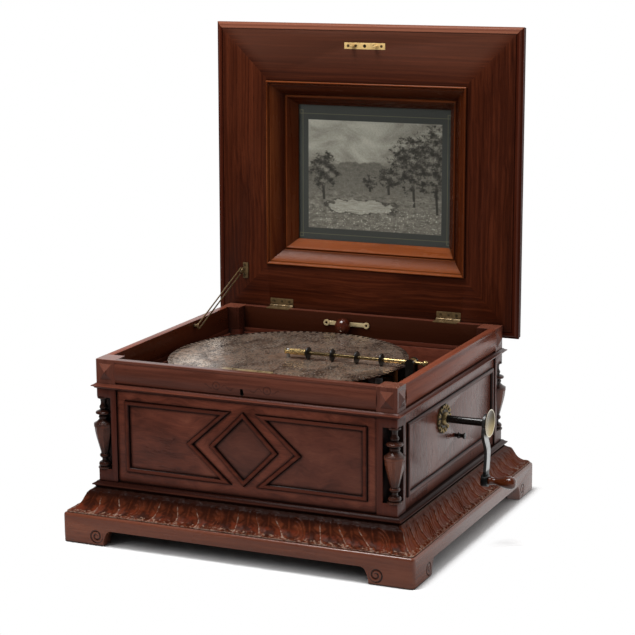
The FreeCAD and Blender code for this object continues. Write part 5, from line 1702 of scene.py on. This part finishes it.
@dataclass
class Assembly:
    """Pieces that are worked and dressed together."""

    edge: float = 0.0006
    hinge_half: float = 0.022
    hinge_step: float = 0.0145
    screw: float = 0.0021
    screw_sink: float = 0.0009
    screw_hole: float = 1.18
    screw_below: float = 0.00005
    screw_drive: float = 0.05

    @staticmethod
    def coat(mesh: bpy.types.Mesh, finish: Any) -> None:
        """Gives a mesh one finish and no other."""
        mesh.materials.clear()
        mesh.materials.append(finish_of(finish))

    def settle(self, piece: Piece, finish: Any, *nodes: str) -> Piece:
        """Puts a finished piece in the place of CAD nodes.

        Args:
            piece: the piece.
            finish: its finish.
            nodes: the nodes it stands for; the first gives its body.

        Returns:
            The piece.
        """
        self.coat(piece.data, finish)
        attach(piece, BODY_OF[nodes[0]])
        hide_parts(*nodes)
        log.info("%s stands for %s", piece.name, ", ".join(nodes))
        return piece

    def add(self, piece: Piece, finish: Any, node: str) -> None:
        """Fixes a small extra piece to what a CAD node belongs to.

        Args:
            piece: the piece.
            finish: its finish.
            node: the node that carries it.
        """
        self.coat(piece.data, finish)
        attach(piece, BODY_OF[node])
        log.info("%s fixed to %s", piece.name, node)

    def dress(self, node: str, finish: Any) -> None:
        """Gives a CAD node, kept as it is, its finish."""
        self.coat(frame["nodes"][node].data, finish)
        log.info("%s dressed", node)

    def joinery(self, node: str, finish: Any, edge: float | None = None, degrees: float = SHARP) -> Piece:
        """A flat-faced piece with softened edges.

        Args:
            node: the CAD node it stands for.
            finish: its finish.
            edge: width of its softened edges, in metres.
            degrees: edges sharper than this stay sharp in the shading.

        Returns:
            The piece.
        """
        piece = Bench.copy_of(node, f"{node}_worked")
        Bench.flatten(piece)
        Bench.round_edges(piece, self.edge if edge is None else edge)
        Bench.smooth(piece, degrees)
        return self.settle(piece, finish, node)

    def hinge(self, node: str, name: str, seat: Span, out: Place) -> None:
        """A pair of hinge leaves with three sunk screws in each.

        Args:
            node: the leaves.
            name: the screws' name.
            seat: how far behind the leaves' front and above their foot the screws sit.
            out: the way they face.
        """
        leaves = self.joinery(node, DARK_BRASS, FINE)
        low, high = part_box(node)
        aims = [(end + step * self.hinge_step, low.y + seat[0], low.z + seat[1])
                for end in (low.x + self.hinge_half, high.x - self.hinge_half) for step in (-1, 0, 1)]
        self.sunk_screws(leaves, node, name, aims, out)

    def sunk_screws(self, plate: Piece, node: str, name: str, aims: list[Place], out: Place) -> None:
        """Screws let into a plate, their heads flush with it.

        Args:
            plate: the worked plate.
            node: the node that it stands for.
            name: the screws' name.
            aims: places in or behind the plate that the screws are driven towards.
            out: the way the plate faces.
        """
        bpy.context.view_layer.update()
        places = []
        for aim in aims:
            start = Vector(aim) + self.screw_drive * Vector(out)
            _, place, normal, _ = plate.ray_cast(start, -Vector(out))
            places.append((place.copy(), normal.copy()))
        for place, normal in places:
            Bench.clear()
            bpy.ops.mesh.primitive_cylinder_add(
                vertices=24, radius=self.screw_hole * self.screw, depth=2 * self.screw_sink, location=place,
                rotation=normal.to_track_quat("Z", "Y").to_euler(),
            )
            Bench.cut(plate, bpy.context.active_object)
        below = 0.25 * self.screw + self.screw_below
        sunk = [(place - normal * below, normal) for place, normal in places]
        self.add(Bench.screws(name, sunk, self.screw), SCREW_BRASS, node)

    def turnery(self, node: str, finish: Any, degrees: float = ROUND) -> None:
        """A round piece, smoothed.

        Args:
            node: the CAD node it stands for.
            finish: its finish.
            degrees: edges sharper than this stay sharp in the shading.
        """
        piece = Bench.copy_of(node, f"{node}_worked")
        Bench.smooth(piece, degrees)
        self.settle(piece, finish, node)


@dataclass
class Plinth(Assembly):
    """Arched plinth and the carved ogee on it."""

    edge: float = 0.0009
    corner: float = 0.007
    shoulder: float = 0.0042
    heel: float = 0.0026
    scroll: Scroll = Scroll()
    groove: float = 0.0015
    groove_points: int = 54
    groove_sides: int = 8
    groove_proud: float = 0.25
    leaves: int = 16
    columns: int = 24
    rows: int = 48
    depth: float = 0.0024
    spread: float = 0.0004
    folds: float = 50.0
    leans: tuple[float, ...] = (0.0, 0.34, 0.52, -0.18)
    feet: tuple[float, ...] = (0.5, 0.8, 1.0, 0.0)
    fan_kind: int = 3
    profile: tuple[Span, ...] = (
        (0.105, 0.0), (0.092, 0.04), (0.118, 0.082), (0.17, 0.112), (0.34, 0.18),
        (0.52, 0.37), (0.64, 0.63), (0.76, 0.87), (1.0, 1.0),
    )
    top_inset: float = 0.038
    inner_inset: float = 0.062

    def build(self) -> None:
        """Works the rails and carves the ogee."""
        self.rails()
        self.carving()

    def rails(self) -> None:
        """Four rails joined to one plinth with rounded corners."""
        names = ["plinth_front", "plinth_back", "plinth_left", "plinth_right"]
        plinth = Bench.copy_of(names[0], "plinth_worked")
        for name in names[1:]:
            Bench.cut(plinth, Bench.copy_of(name, f"{name}_part"), Cut.JOINED)
        Bench.flatten(plinth)
        low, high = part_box("plinth_front")[0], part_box("plinth_back")[1]
        Bench.cut(plinth, self.rounded_block(low, high), Cut.WITHIN)
        Bench.round_edges(plinth, self.edge)
        self.cut_scrolls(plinth, low, high)
        Bench.smooth(plinth)
        self.settle(plinth, FOOT_TIMBER, *names)

    def rounded_block(self, low: Vector, high: Vector) -> Piece:
        """Block with the plinth's rounded corners, shoulder and heel.

        Args:
            low: its lowest corner.
            high: its highest corner.

        Returns:
            The block.
        """
        block = Bench.block(low, high)

        def level(a: Vector, b: Vector, height: float) -> bool:
            """Says whether an edge lies at a height."""
            return max(abs(a.z - height), abs(b.z - height)) < 1e-5

        Bench.bevel_where(block, lambda a, b: abs(a.z - b.z) > 0.01, self.corner)
        Bench.bevel_where(block, lambda a, b: level(a, b, high.z), self.shoulder)
        Bench.bevel_where(block, lambda a, b: level(a, b, low.z), self.heel)
        return block

    def cut_scrolls(self, plinth: Piece, low: Vector, high: Vector) -> None:
        """Cuts a scroll groove into each face of each foot.

        Args:
            plinth: the worked plinth.
            low: its lowest corner.
            high: its highest corner.
        """
        centre = (low + high) / 2
        path = self.scroll.path(self.groove_points)
        along = np.gradient(path, axis=0)
        along /= np.linalg.norm(along, axis=1)[:, None]
        turn = np.linspace(0, 2 * np.pi, self.groove_sides, endpoint=False)
        wide, deep = self.groove * np.cos(turn), self.groove * np.sin(turn)
        out = path[:, None, 0] - along[:, None, 1] * wide
        up = path[:, None, 1] + along[:, None, 0] * wide
        away = np.broadcast_to(self.groove_proud * self.groove + deep, out.shape)
        for face in (-1, 1):
            for hand in (-1, 1):
                for x, y in (
                    (hand * (self.scroll.front_reach + out), face * (centre.y - low.y + away)),
                    (face * (centre.x - low.x + away), hand * (self.scroll.side_reach + out)),
                ):
                    places = np.stack([centre.x + x, centre.y + y, self.scroll.level + up], axis=-1)
                    Bench.cut(plinth, Bench.tube("groove_cutter", places))

    def section(self) -> tuple[np.ndarray, np.ndarray, np.ndarray, np.ndarray]:
        """Outer curve of the ogee.

        Returns:
            Inset, height, and the two parts of the outward normal, at each row of the carved face.
        """
        tall = 2 * half(CASE).z
        points = np.array([(share * self.top_inset, rise * tall) for share, rise in self.profile])
        steps = np.r_[0.0, np.cumsum(np.hypot(*np.diff(points, axis=0).T))]
        where = np.linspace(0.0, steps[-1], self.rows)
        padded = np.vstack([2 * points[0] - points[1], points, 2 * points[-1] - points[-2]])
        index = np.clip(np.searchsorted(steps, where, "right") - 1, 0, len(points) - 2)
        share = ((where - steps[index]) / (steps[index + 1] - steps[index]))[:, None]
        a, b, c, d = (padded[index + step] for step in range(4))
        curve = 0.5 * (2 * b + (c - a) * share + (2 * a - 5 * b + 4 * c - d) * share**2
                       + (3 * b - a - 3 * c + d) * share**3)
        slope = np.gradient(curve, axis=0)
        slope /= np.linalg.norm(slope, axis=1)[:, None]
        return curve[:, 0], curve[:, 1], -slope[:, 1], slope[:, 0]

    def cut(self, turn: np.ndarray, rise: np.ndarray) -> np.ndarray:
        """Depth of the carving: a straight rib, two leaning leaves and a fan, over and over.

        Args:
            turn: place along the side, one unit for each leaf.
            rise: place up the carved face, from 0 to 1.

        Returns:
            The height, 1 on the uncut face and less where wood is cut away.
        """
        kind = np.round(turn).astype(int) % len(self.leans)
        lean, foot = np.array(self.leans)[kind], np.array(self.feet)[kind]
        u = turn - np.round(turn)
        bend = lean * (0.5 - rise) + 0.14 * lean * np.sin(2 * np.pi * rise)
        x = u - bend
        window = np.clip((rise - 0.08) / 0.06, 0, 1) * np.clip((0.86 - rise) / 0.2, 0, 1)
        rib = bell(x, 0.045) * window * 0.8
        body = np.clip(np.sin(np.pi * np.clip(0.12 + 0.8 * rise, 0, 1)), 0, 1) ** 0.7
        lobes = 1 - 0.34 * np.abs(np.sin(np.pi * 3.5 * (rise + 0.04)))
        width = 0.46 * body * lobes + 1e-3
        share = np.clip(np.abs(x) / width, 0, 1)
        leaf = 0.34 * (1 - share**4)
        veins = 0.26 * np.abs(np.sin(np.pi * (3.5 * rise + 0.16 - 1.7 * np.abs(x)))) ** 12 * (share < 0.97)
        hook_x = u - lean * 0.34 - 0.1
        hook = bell(hook_x, 0.12) * bell(rise - 0.15 - 0.4 * hook_x, 0.04) * foot
        reach = np.hypot((u + 0.24) / 0.44, (rise - 0.4) / 0.36)
        arcs = sum(bell(reach - at, 0.08) for at in (0.42, 0.76, 1.1))
        fan = arcs * np.clip((u + 0.26) / 0.08, 0, 1) * np.clip((0.48 - np.abs(u)) / 0.06, 0, 1) * 0.62
        gap = np.abs(np.abs(u) - 0.5)
        dart = bell(gap, 0.04) * np.clip(1.0 - 3.0 * np.abs(rise - 0.6), 0, 1) * 0.55
        tips = np.clip(np.cos(2 * np.pi * 3 * u), 0, 1) ** 1.2 * bell(rise - 0.105, 0.04) * 0.8
        plain = leaf + rib - veins + hook
        shape = np.where(kind == self.fan_kind, 0.5 * leaf + fan, plain) + dart + tips
        shape = np.clip(0.18 + shape, 0, 1.1) / 1.1
        fade = np.clip((rise - 0.05) / 0.03, 0, 1) * np.clip((0.97 - rise) / 0.08, 0, 1)
        return 1 - (1 - shape) * fade

    def carving(self) -> None:
        """Ogee with leaves carved all round and a leaf on each mitre."""
        centre, reach = middle(CASE), half(CASE) + Vector((self.spread, self.spread, 0))
        low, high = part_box("ogee_moulding")
        tall = high.z - low.z
        inset, height, out, up = self.section()
        rise = np.linspace(0.0, 1.0, len(inset))
        turns = np.arange(self.leaves * self.columns) / self.columns
        turn, row = np.meshgrid(turns, rise, indexing="ij")
        left = self.cut(turn, row)
        back = np.array([[self.inner_inset, tall], [self.inner_inset, 0.5 * tall], [self.inner_inset, 0.0],
                         [0.6 * self.inner_inset, 0.0]])
        relief = (left - 1.0) * self.depth
        in_by = np.hstack([inset + relief * out, np.tile(back[:, 0], (len(turns), 1))])
        level = np.hstack([height + relief * up, np.tile(back[:, 1], (len(turns), 1))])
        place = np.repeat(turns[:, None], in_by.shape[1], axis=1)
        carved = np.hstack([left, np.ones((len(turns), len(back)))])
        rings = []
        for way, (length, depth) in enumerate(((reach.x, reach.y), (reach.y, reach.x)) * 2):
            along = (2 * place / self.leaves - 1) * (length - in_by)
            bend = np.clip((np.abs(along) - length + in_by) / self.corner + 1, 0, 1) * np.pi / 4
            straight = length - in_by - self.corner
            along = np.where(bend > 0, np.sign(along) * (straight + self.corner * np.sin(bend)), along)
            away = self.corner * (1 - np.cos(bend)) - (depth - in_by)
            for _ in range(way):
                along, away = -away, along
            rings.append(np.stack([along + centre.x, away + centre.y, level + low.z], axis=-1))
        piece = Bench.ring("ogee_carving", np.concatenate(rings), np.tile(carved, (len(rings), 1)))
        Bench.smooth(piece, self.folds)
        self.settle(piece, CARVED_TIMBER, "ogee_moulding")


@dataclass
class CaseBody(Assembly):
    """Walls, posts, columns, mouldings and rails of the case."""

    screw_seat: Span = (0.0062, 0.003)
    facets: float = 22.0
    pyramid: float = 7.0

    def build(self) -> None:
        """Works the case from the floor up."""
        self.dress("bottom_board", BOARD_TIMBER)
        for node, finish, edge in (
            ("lower_moulding", LOWER_RING, SOFT),
            ("upper_moulding", CASE_RING, SOFT),
            ("wall_front", VENEER_FRONT, FINE),
            ("wall_back", VENEER_BACK, FINE),
            ("wall_left", VENEER_SIDE, FINE),
            ("wall_right", VENEER_SIDE, FINE),
            ("corner_posts", POST_TIMBER, self.edge),
        ):
            self.joinery(node, finish, edge)
        self.turnery("columns", TURNED_TIMBER, self.facets)
        self.joinery("panel_beads", BEAD_TIMBER, FINE)
        for node, finish in (
            ("frieze_front", FRONT_RAIL),
            ("frieze_back", CASE_ACROSS),
            ("frieze_left", CASE_DEPTH),
            ("frieze_right", CASE_DEPTH),
        ):
            self.joinery(node, finish)
        self.joinery("corner_blocks", BLOCK_TIMBER, SOFT, self.pyramid)
        self.joinery("lock", LOCK_BRASS, FINE)
        self.turnery("stay_stud", DARK_BRASS)
        self.joinery("guard_strap", BRASS, SOFT)
        self.turnery("guard_knob", KNOB_TIMBER)
        self.hinge("hinge_rail_leaves", "rail_hinge_screws", self.screw_seat, UPWARDS)


@dataclass
class Lid(Assembly):
    """Lid with its picture, catch plate, hinge leaves and stay."""

    edge: float = 0.0007
    screw_marks: tuple[float, ...] = (-0.0305, -0.0165, 0.0165, 0.0305)
    screw_seat: Span = (0.0003, 0.0118)
    bracket_end: float = 0.0045
    quirks: float = 25.0
    air: float = 0.0005
    half_pane: float = 0.0008

    def build(self) -> None:
        """Works the lid."""
        self.joinery("lid_frame", LID_TIMBER)
        self.joinery("lid_edge_moulding", LID_EDGE, FINE)
        self.joinery("picture_moulding", PICTURE_TIMBER, FINE, self.quirks)
        self.joinery("lid_top", LID_TOP)
        self.dress("picture_print", PICTURE_PRINT)
        self.glazing()
        self.catch()
        self.bracket()
        self.turnery("stay_loop", DARK_BRASS)
        self.hinge("hinge_lid_leaves", "lid_hinge_screws", self.screw_seat, FORWARDS)

    def glazing(self) -> None:
        """Picture glass, its back kept just clear of the print."""
        piece = Bench.copy_of("picture_glass", "picture_glass_worked")
        low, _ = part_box("picture_glass")

        def on_back(point: Vector) -> bool:
            """Says whether a point is on the back of the leaning pane."""
            return point.y - low.y - (point.z - low.z) * LID_LEAN > self.half_pane

        Bench.shift_where(piece, on_back, (0.0, -self.air, 0.0))
        self.settle(piece, PICTURE_GLASS, "picture_glass")

    def catch(self) -> None:
        """Catch plate with its four screws."""
        plate = self.joinery("catch_plate", PLATE_BRASS, FINE)
        centre = middle("catch_plate")
        aims = [(centre.x + mark, centre.y, centre.z) for mark in self.screw_marks]
        self.sunk_screws(plate, "catch_plate", "catch_plate_screws", aims, FORWARDS)

    def bracket(self) -> None:
        """Stay bracket with a screw above and below the stay."""
        plate = self.joinery("stay_bracket", DARK_BRASS, FINE)
        low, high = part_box("stay_bracket")
        centre = middle("stay_bracket")
        levels = (low.z + self.bracket_end, high.z - self.bracket_end)
        aims = [(centre.x, centre.y, level) for level in levels]
        self.sunk_screws(plate, "stay_bracket", "stay_bracket_screws", aims, FORWARDS)


@dataclass
class MusicWork(Assembly):
    """Disc, pressure bar and the movement below."""

    edge: float = 0.001
    comb_edge: float = 0.0002
    sleeve_start: float = -0.0056
    sleeve_end: float = 0.0318
    sleeve_radius: float = 0.005
    sleeve_rings: int = 132
    sleeve_sides: int = 112
    sleeve_bore: float = 0.004
    bore_sides: int = 48
    bore_length: float = 0.04
    collar: float = 0.0026
    knurl: float = 0.00045
    knurl_flat: float = 1.6
    diamonds: int = 16
    chamfer: float = 0.0009
    overlap: float = 0.003
    room: float = 0.002
    teeth: float = 30.0

    def build(self) -> None:
        """Works the movement."""
        self.turnery("disc", DISC_STEEL, self.teeth)
        self.turnery("spindle", BRIGHT_STEEL)
        self.bar()
        self.sleeve()
        for index in range(1, 5):
            self.turnery(f"roller_{index}", ROLLER_IRON)
        self.turnery("bar_bracket", BLACK_IRON)
        self.joinery("bedplate", BLACK_IRON)
        self.joinery("comb", BRIGHT_STEEL, self.comb_edge)
        self.joinery("star_gantry", GEAR_BRASS, SOFT)
        for node in ("star_wheels", "barrel", "drive_arbor", "sprocket_arbor", "winding_arbor"):
            self.turnery(node, GEAR_BRASS, self.teeth)
        self.turnery("governor", BRIGHT_STEEL, self.teeth)

    def bar(self) -> None:
        """Pressure bar from its sleeve to its tail knob."""
        piece = Bench.copy_of("pressure_bar", "pressure_bar_worked")
        low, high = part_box("pressure_bar")
        room = Vector((self.room,) * 3)
        inner_end = middle("spindle").x + self.sleeve_end - self.overlap
        Bench.cut(piece, Bench.block(low - room, Vector((inner_end, high.y, high.z)) + room))
        Bench.smooth(piece, ROUND)
        self.settle(piece, BAR_BRASS, "pressure_bar")

    def sleeve(self) -> None:
        """Knurled sleeve that drops over the spindle."""
        pin, axis = middle("spindle"), middle("roller_1")
        x = np.linspace(pin.x + self.sleeve_start, pin.x + self.sleeve_end, self.sleeve_rings)
        turn = np.linspace(0.0, 2 * np.pi, self.sleeve_sides, endpoint=False)
        pitch = 2 * np.pi * self.sleeve_radius / self.diamonds
        along, around = np.meshgrid((x - x[0]) / pitch, turn * self.diamonds / (2 * np.pi), indexing="ij")
        diamond = np.abs(np.sin(np.pi * (along + around)) * np.sin(np.pi * (along - around)))
        from_end = np.minimum(x - x[0], x[-1] - x)[:, None]
        radius = self.sleeve_radius - self.knurl * (1 - np.clip(self.knurl_flat * diamond, 0, 1))
        radius = np.where(from_end < self.collar, self.sleeve_radius, radius)
        radius = radius - self.chamfer * np.clip(1 - from_end / self.chamfer, 0, 1)
        places = np.stack([
            np.broadcast_to(x[:, None], radius.shape),
            axis.y + radius * np.cos(turn),
            axis.z + radius * np.sin(turn),
        ], axis=-1)
        piece = Bench.tube("bar_sleeve", places)
        Bench.clear()
        bpy.ops.mesh.primitive_cylinder_add(
            vertices=self.bore_sides, radius=self.sleeve_bore, depth=self.bore_length,
            location=(pin.x, axis.y, axis.z),
        )
        Bench.cut(piece, bpy.context.active_object)
        Bench.smooth(piece, ROUND)
        self.add(piece, BAR_BRASS, "pressure_bar")


@dataclass
class Winding(Assembly):
    """Crank, its cast escutcheon and the start knob."""

    leaves: int = 14
    around: int = 224
    plate: float = 0.0022
    bore: float = 0.0061
    scallop: float = 0.045
    leaf_ends: Span = (0.985, 0.34)
    leaf_rows: int = 17
    casting: float = 42.0

    def build(self) -> None:
        """Works the winding gear."""
        self.escutcheon()
        self.turnery("winding_shaft", BLACK_IRON)
        self.joinery("crank_arm", CRANK_STEEL)
        self.turnery("crank_hub", POLISHED_BRASS)
        self.turnery("crank_grip", GRIP_TIMBER)
        self.turnery("start_knob", BLACK_IRON)

    def escutcheon(self) -> None:
        """Cast oval plate with leaves fanning out from a collar."""
        low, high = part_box("crank_escutcheon")
        centre, reach = middle("crank_escutcheon"), half("crank_escutcheon")
        turn = np.arange(self.around) * 2 * np.pi / self.around
        leaf = np.abs(np.cos(self.leaves * turn / 2))
        scallop = 1 - self.scallop * (1 - leaf)
        outer_y, outer_z = reach.y * scallop * np.cos(turn), reach.z * scallop * np.sin(turn)
        bore_y, bore_z = np.cos(turn), np.sin(turn)
        tall = high.x - low.x
        rows: list[np.ndarray] = []
        crests: list[np.ndarray] = []

        def row(share: float, level: np.ndarray | float, crest: np.ndarray | float = 0.6) -> None:
            """Adds one row of points.

            Args:
                share: how far it lies from the bore towards the rim, from 0 to 1.
                level: its height on the plate, in metres.
                crest: how far it counts as raised in the finish, from 0 to 1.
            """
            y = bore_y * self.bore * (1 - share) + outer_y * share
            z = bore_z * self.bore * (1 - share) + outer_z * share
            rows.append(np.stack([low.x + level + 0 * turn, centre.y + y, centre.z + z], axis=-1))
            crests.append(crest + 0 * turn)

        row(1.0, 0.0)
        row(1.0, 0.6 * self.plate)
        tip, root = self.leaf_ends
        for share in np.linspace(tip, root, self.leaf_rows):
            span = (tip - share) / (tip - root)
            crown = np.sin(np.pi * min(1.0, 0.12 + span)) ** 0.6
            wave = leaf ** (0.7 + 1.2 * span)
            vein = 0.35 * bell(leaf - 1.0, 0.03)
            row(share, self.plate * (0.72 + 1.15 * crown * (wave - vein) + 0.35 * np.sin(span * 9.0)),
                crown * (wave - vein))
        collar = (
            (0.3, self.plate), (0.27, self.plate * 2.2), (0.2, tall * 0.86), (0.13, tall), (0.03, tall),
            (0.0, tall * 0.93), (0.0, 0.0),
        )
        for share, level in collar:
            row(share, level)
        places = np.stack(rows, axis=1)
        piece = Bench.ring("escutcheon_cast", places, np.stack(crests, axis=1))
        Bench.smooth(piece, self.casting)
        self.settle(piece, CAST_BRASS, "crank_escutcheon")


@dataclass
class Studio:
    """Pale floor, white surroundings, soft lamps and the camera."""

    eye: Place = (1.28456, -2.90452, 1.00606)
    turn: Place = (78.0406, 0.4559, 24.1189)
    lens: float = 113.31
    sensor: float = 36.0
    aim: Place = (0.0, 0.0, 0.25)
    sky: float = 0.42
    dim: float = 0.06
    paper: float = 0.3
    seen_paper: float = 1.6
    # deepest: darkest painted contact shade on the floor
    deepest: Colour = (0.02, 0.02, 0.021)
    contact_reach: float = 0.16
    reach: float = 1.15
    clearance: float = 0.0004
    fade: Span = (-0.002, 0.018)
    crank_shade: float = 0.6
    crank_spot: Span = (0.028, 0.01)
    crank_spread: Span = (0.055, 0.05)
    lamps: tuple[tuple[str, Place, float, float, bool], ...] = (
        ("top_lamp", (-0.35, -0.45, 2.5), 1.0, 46.0, True),
        ("front_lamp", (-1.4, -2.2, 1.7), 1.2, 34.0, False),
        ("side_lamp", (2.3, -0.5, 1.1), 1.4, 14.0, False),
    )

    def build(self) -> None:
        """Sets the stage."""
        bpy.context.scene.view_settings.view_transform = "Standard"
        self.floor()
        self.surroundings()
        for name, place, size, power, in_gloss in self.lamps:
            self.lamp(name, place, size, power).visible_glossy = in_gloss
        self.camera()

    def floor(self) -> None:
        """Round floor of pale paper that keeps the box's shadow, deepened by painted contact shade, and
        fades to white.
        """
        Bench.clear()
        bpy.ops.mesh.primitive_circle_add(
            vertices=96, radius=self.reach, fill_type="NGON", location=(0, 0, -self.clearance)
        )
        floor = bpy.context.active_object
        floor.name = "floor"
        graph = Graph.named("floor_paper")
        camera, glossy, through = self.rays(graph)
        x, y, _ = graph.place()
        low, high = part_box("plinth_front")[0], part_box("plinth_back")[1]
        centre, reach = (low + high) / 2, (high - low) / 2
        away = (abs(x - centre.x) - reach.x).most(abs(y - centre.y) - reach.y).ease(*self.fade)
        grip = middle("crank_grip")
        by_x = (x - grip.x - self.crank_spot[0]) / self.crank_spread[0]
        by_y = (y - grip.y - self.crank_spot[1]) / self.crank_spread[1]
        away = away * (1 - (1 - (by_x * by_x + by_y * by_y).root().ease(0.5, 1.0)) * self.crank_shade)
        lit_side = (x + 0.6 * y).ease(0.05, 0.4)
        # Painted contact shade: the paper the camera sees darkens towards the deepest colour where it is
        # shut in under the box.
        lit = 1 - graph.hollows(self.contact_reach)
        seen_paper = graph.blend(lit, self.deepest, (self.seen_paper,) * 3)
        colour = graph.blend(camera, (self.paper,) * 3, seen_paper)
        paper = graph.node("ShaderNodeBsdfDiffuse", None, {"Color": colour})
        strength = camera.most(glossy).most(through)
        glow = graph.node("ShaderNodeEmission", None, {"Color": (1.0, 1.0, 1.0), "Strength": strength})
        share = camera.most(through) * away + glossy * lit_side * 0.85
        mixed = graph.node("ShaderNodeMixShader", None, {0: share, 1: paper.outputs[0], 2: glow.outputs[0]})
        floor.data.materials.append(graph.end(mixed))

    @staticmethod
    def rays(graph: Graph) -> tuple[Field, Field, Field]:
        """Tells the rays that show the background.

        Args:
            graph: the material or the room.

        Returns:
            1 for rays seen in the picture, in gloss and through glass.
        """
        path = graph.node("ShaderNodeLightPath")
        names = ("Is Camera Ray", "Is Glossy Ray", "Is Transmission Ray")
        camera, glossy, through = (Field(graph, path.outputs[name]) for name in names)
        return camera, glossy, through

    def surroundings(self) -> None:
        """White room, dim in reflections towards the front, dimmer as a lamp than as a background."""
        world = bpy.data.worlds.new("white_room")
        bpy.context.scene.world = world
        graph = Graph(world, "ShaderNodeOutputWorld")
        camera, glossy, through = self.rays(graph)
        across, deep, _ = graph.read("ShaderNodeTexCoord", "Generated")
        lit_side = (deep + across * 0.25).ease(0.15, 0.65)
        seen = camera.most(through)
        plain = 1 - seen.most(glossy)
        strength = seen + glossy * (lit_side * (1.0 - self.dim) + self.dim) + plain * self.sky
        room = graph.node("ShaderNodeBackground", None, {"Color": (1.0, 1.0, 1.0), "Strength": strength})
        graph.end(room)

    def lamp(self, name: str, place: Place, size: float, power: float) -> Piece:
        """Adds a square soft lamp that looks at the box.

        Args:
            name: the lamp's name.
            place: where it hangs.
            size: its side, in metres.
            power: in watts.

        Returns:
            The lamp.
        """
        data = bpy.data.lights.new(name, "AREA")
        data.size = size
        data.energy = power
        lamp = bpy.data.objects.new(name, data)
        lamp.location = place
        way = Vector(self.aim) - Vector(place)
        lamp.rotation_euler = way.to_track_quat("-Z", "Y").to_euler()
        bpy.context.scene.collection.objects.link(lamp)
        return lamp

    def camera(self) -> None:
        """Camera at the photograph's angle."""
        data = bpy.data.cameras.new("camera")
        data.lens = self.lens
        data.sensor_width = self.sensor
        data.sensor_fit = "HORIZONTAL"
        camera = bpy.data.objects.new("camera", data)
        camera.location = self.eye
        camera.rotation_euler = tuple(math.radians(angle) for angle in self.turn)
        bpy.context.scene.collection.objects.link(camera)
        bpy.context.scene.camera = camera


def main() -> None:
    """Builds every assembly and the stage."""
    logging.basicConfig(level=logging.INFO, format="%(name)s: %(message)s")
    for assembly in (Plinth(), CaseBody(), Lid(), MusicWork(), Winding(), Studio()):
        assembly.build()


if __name__ == "__main__":
    main()
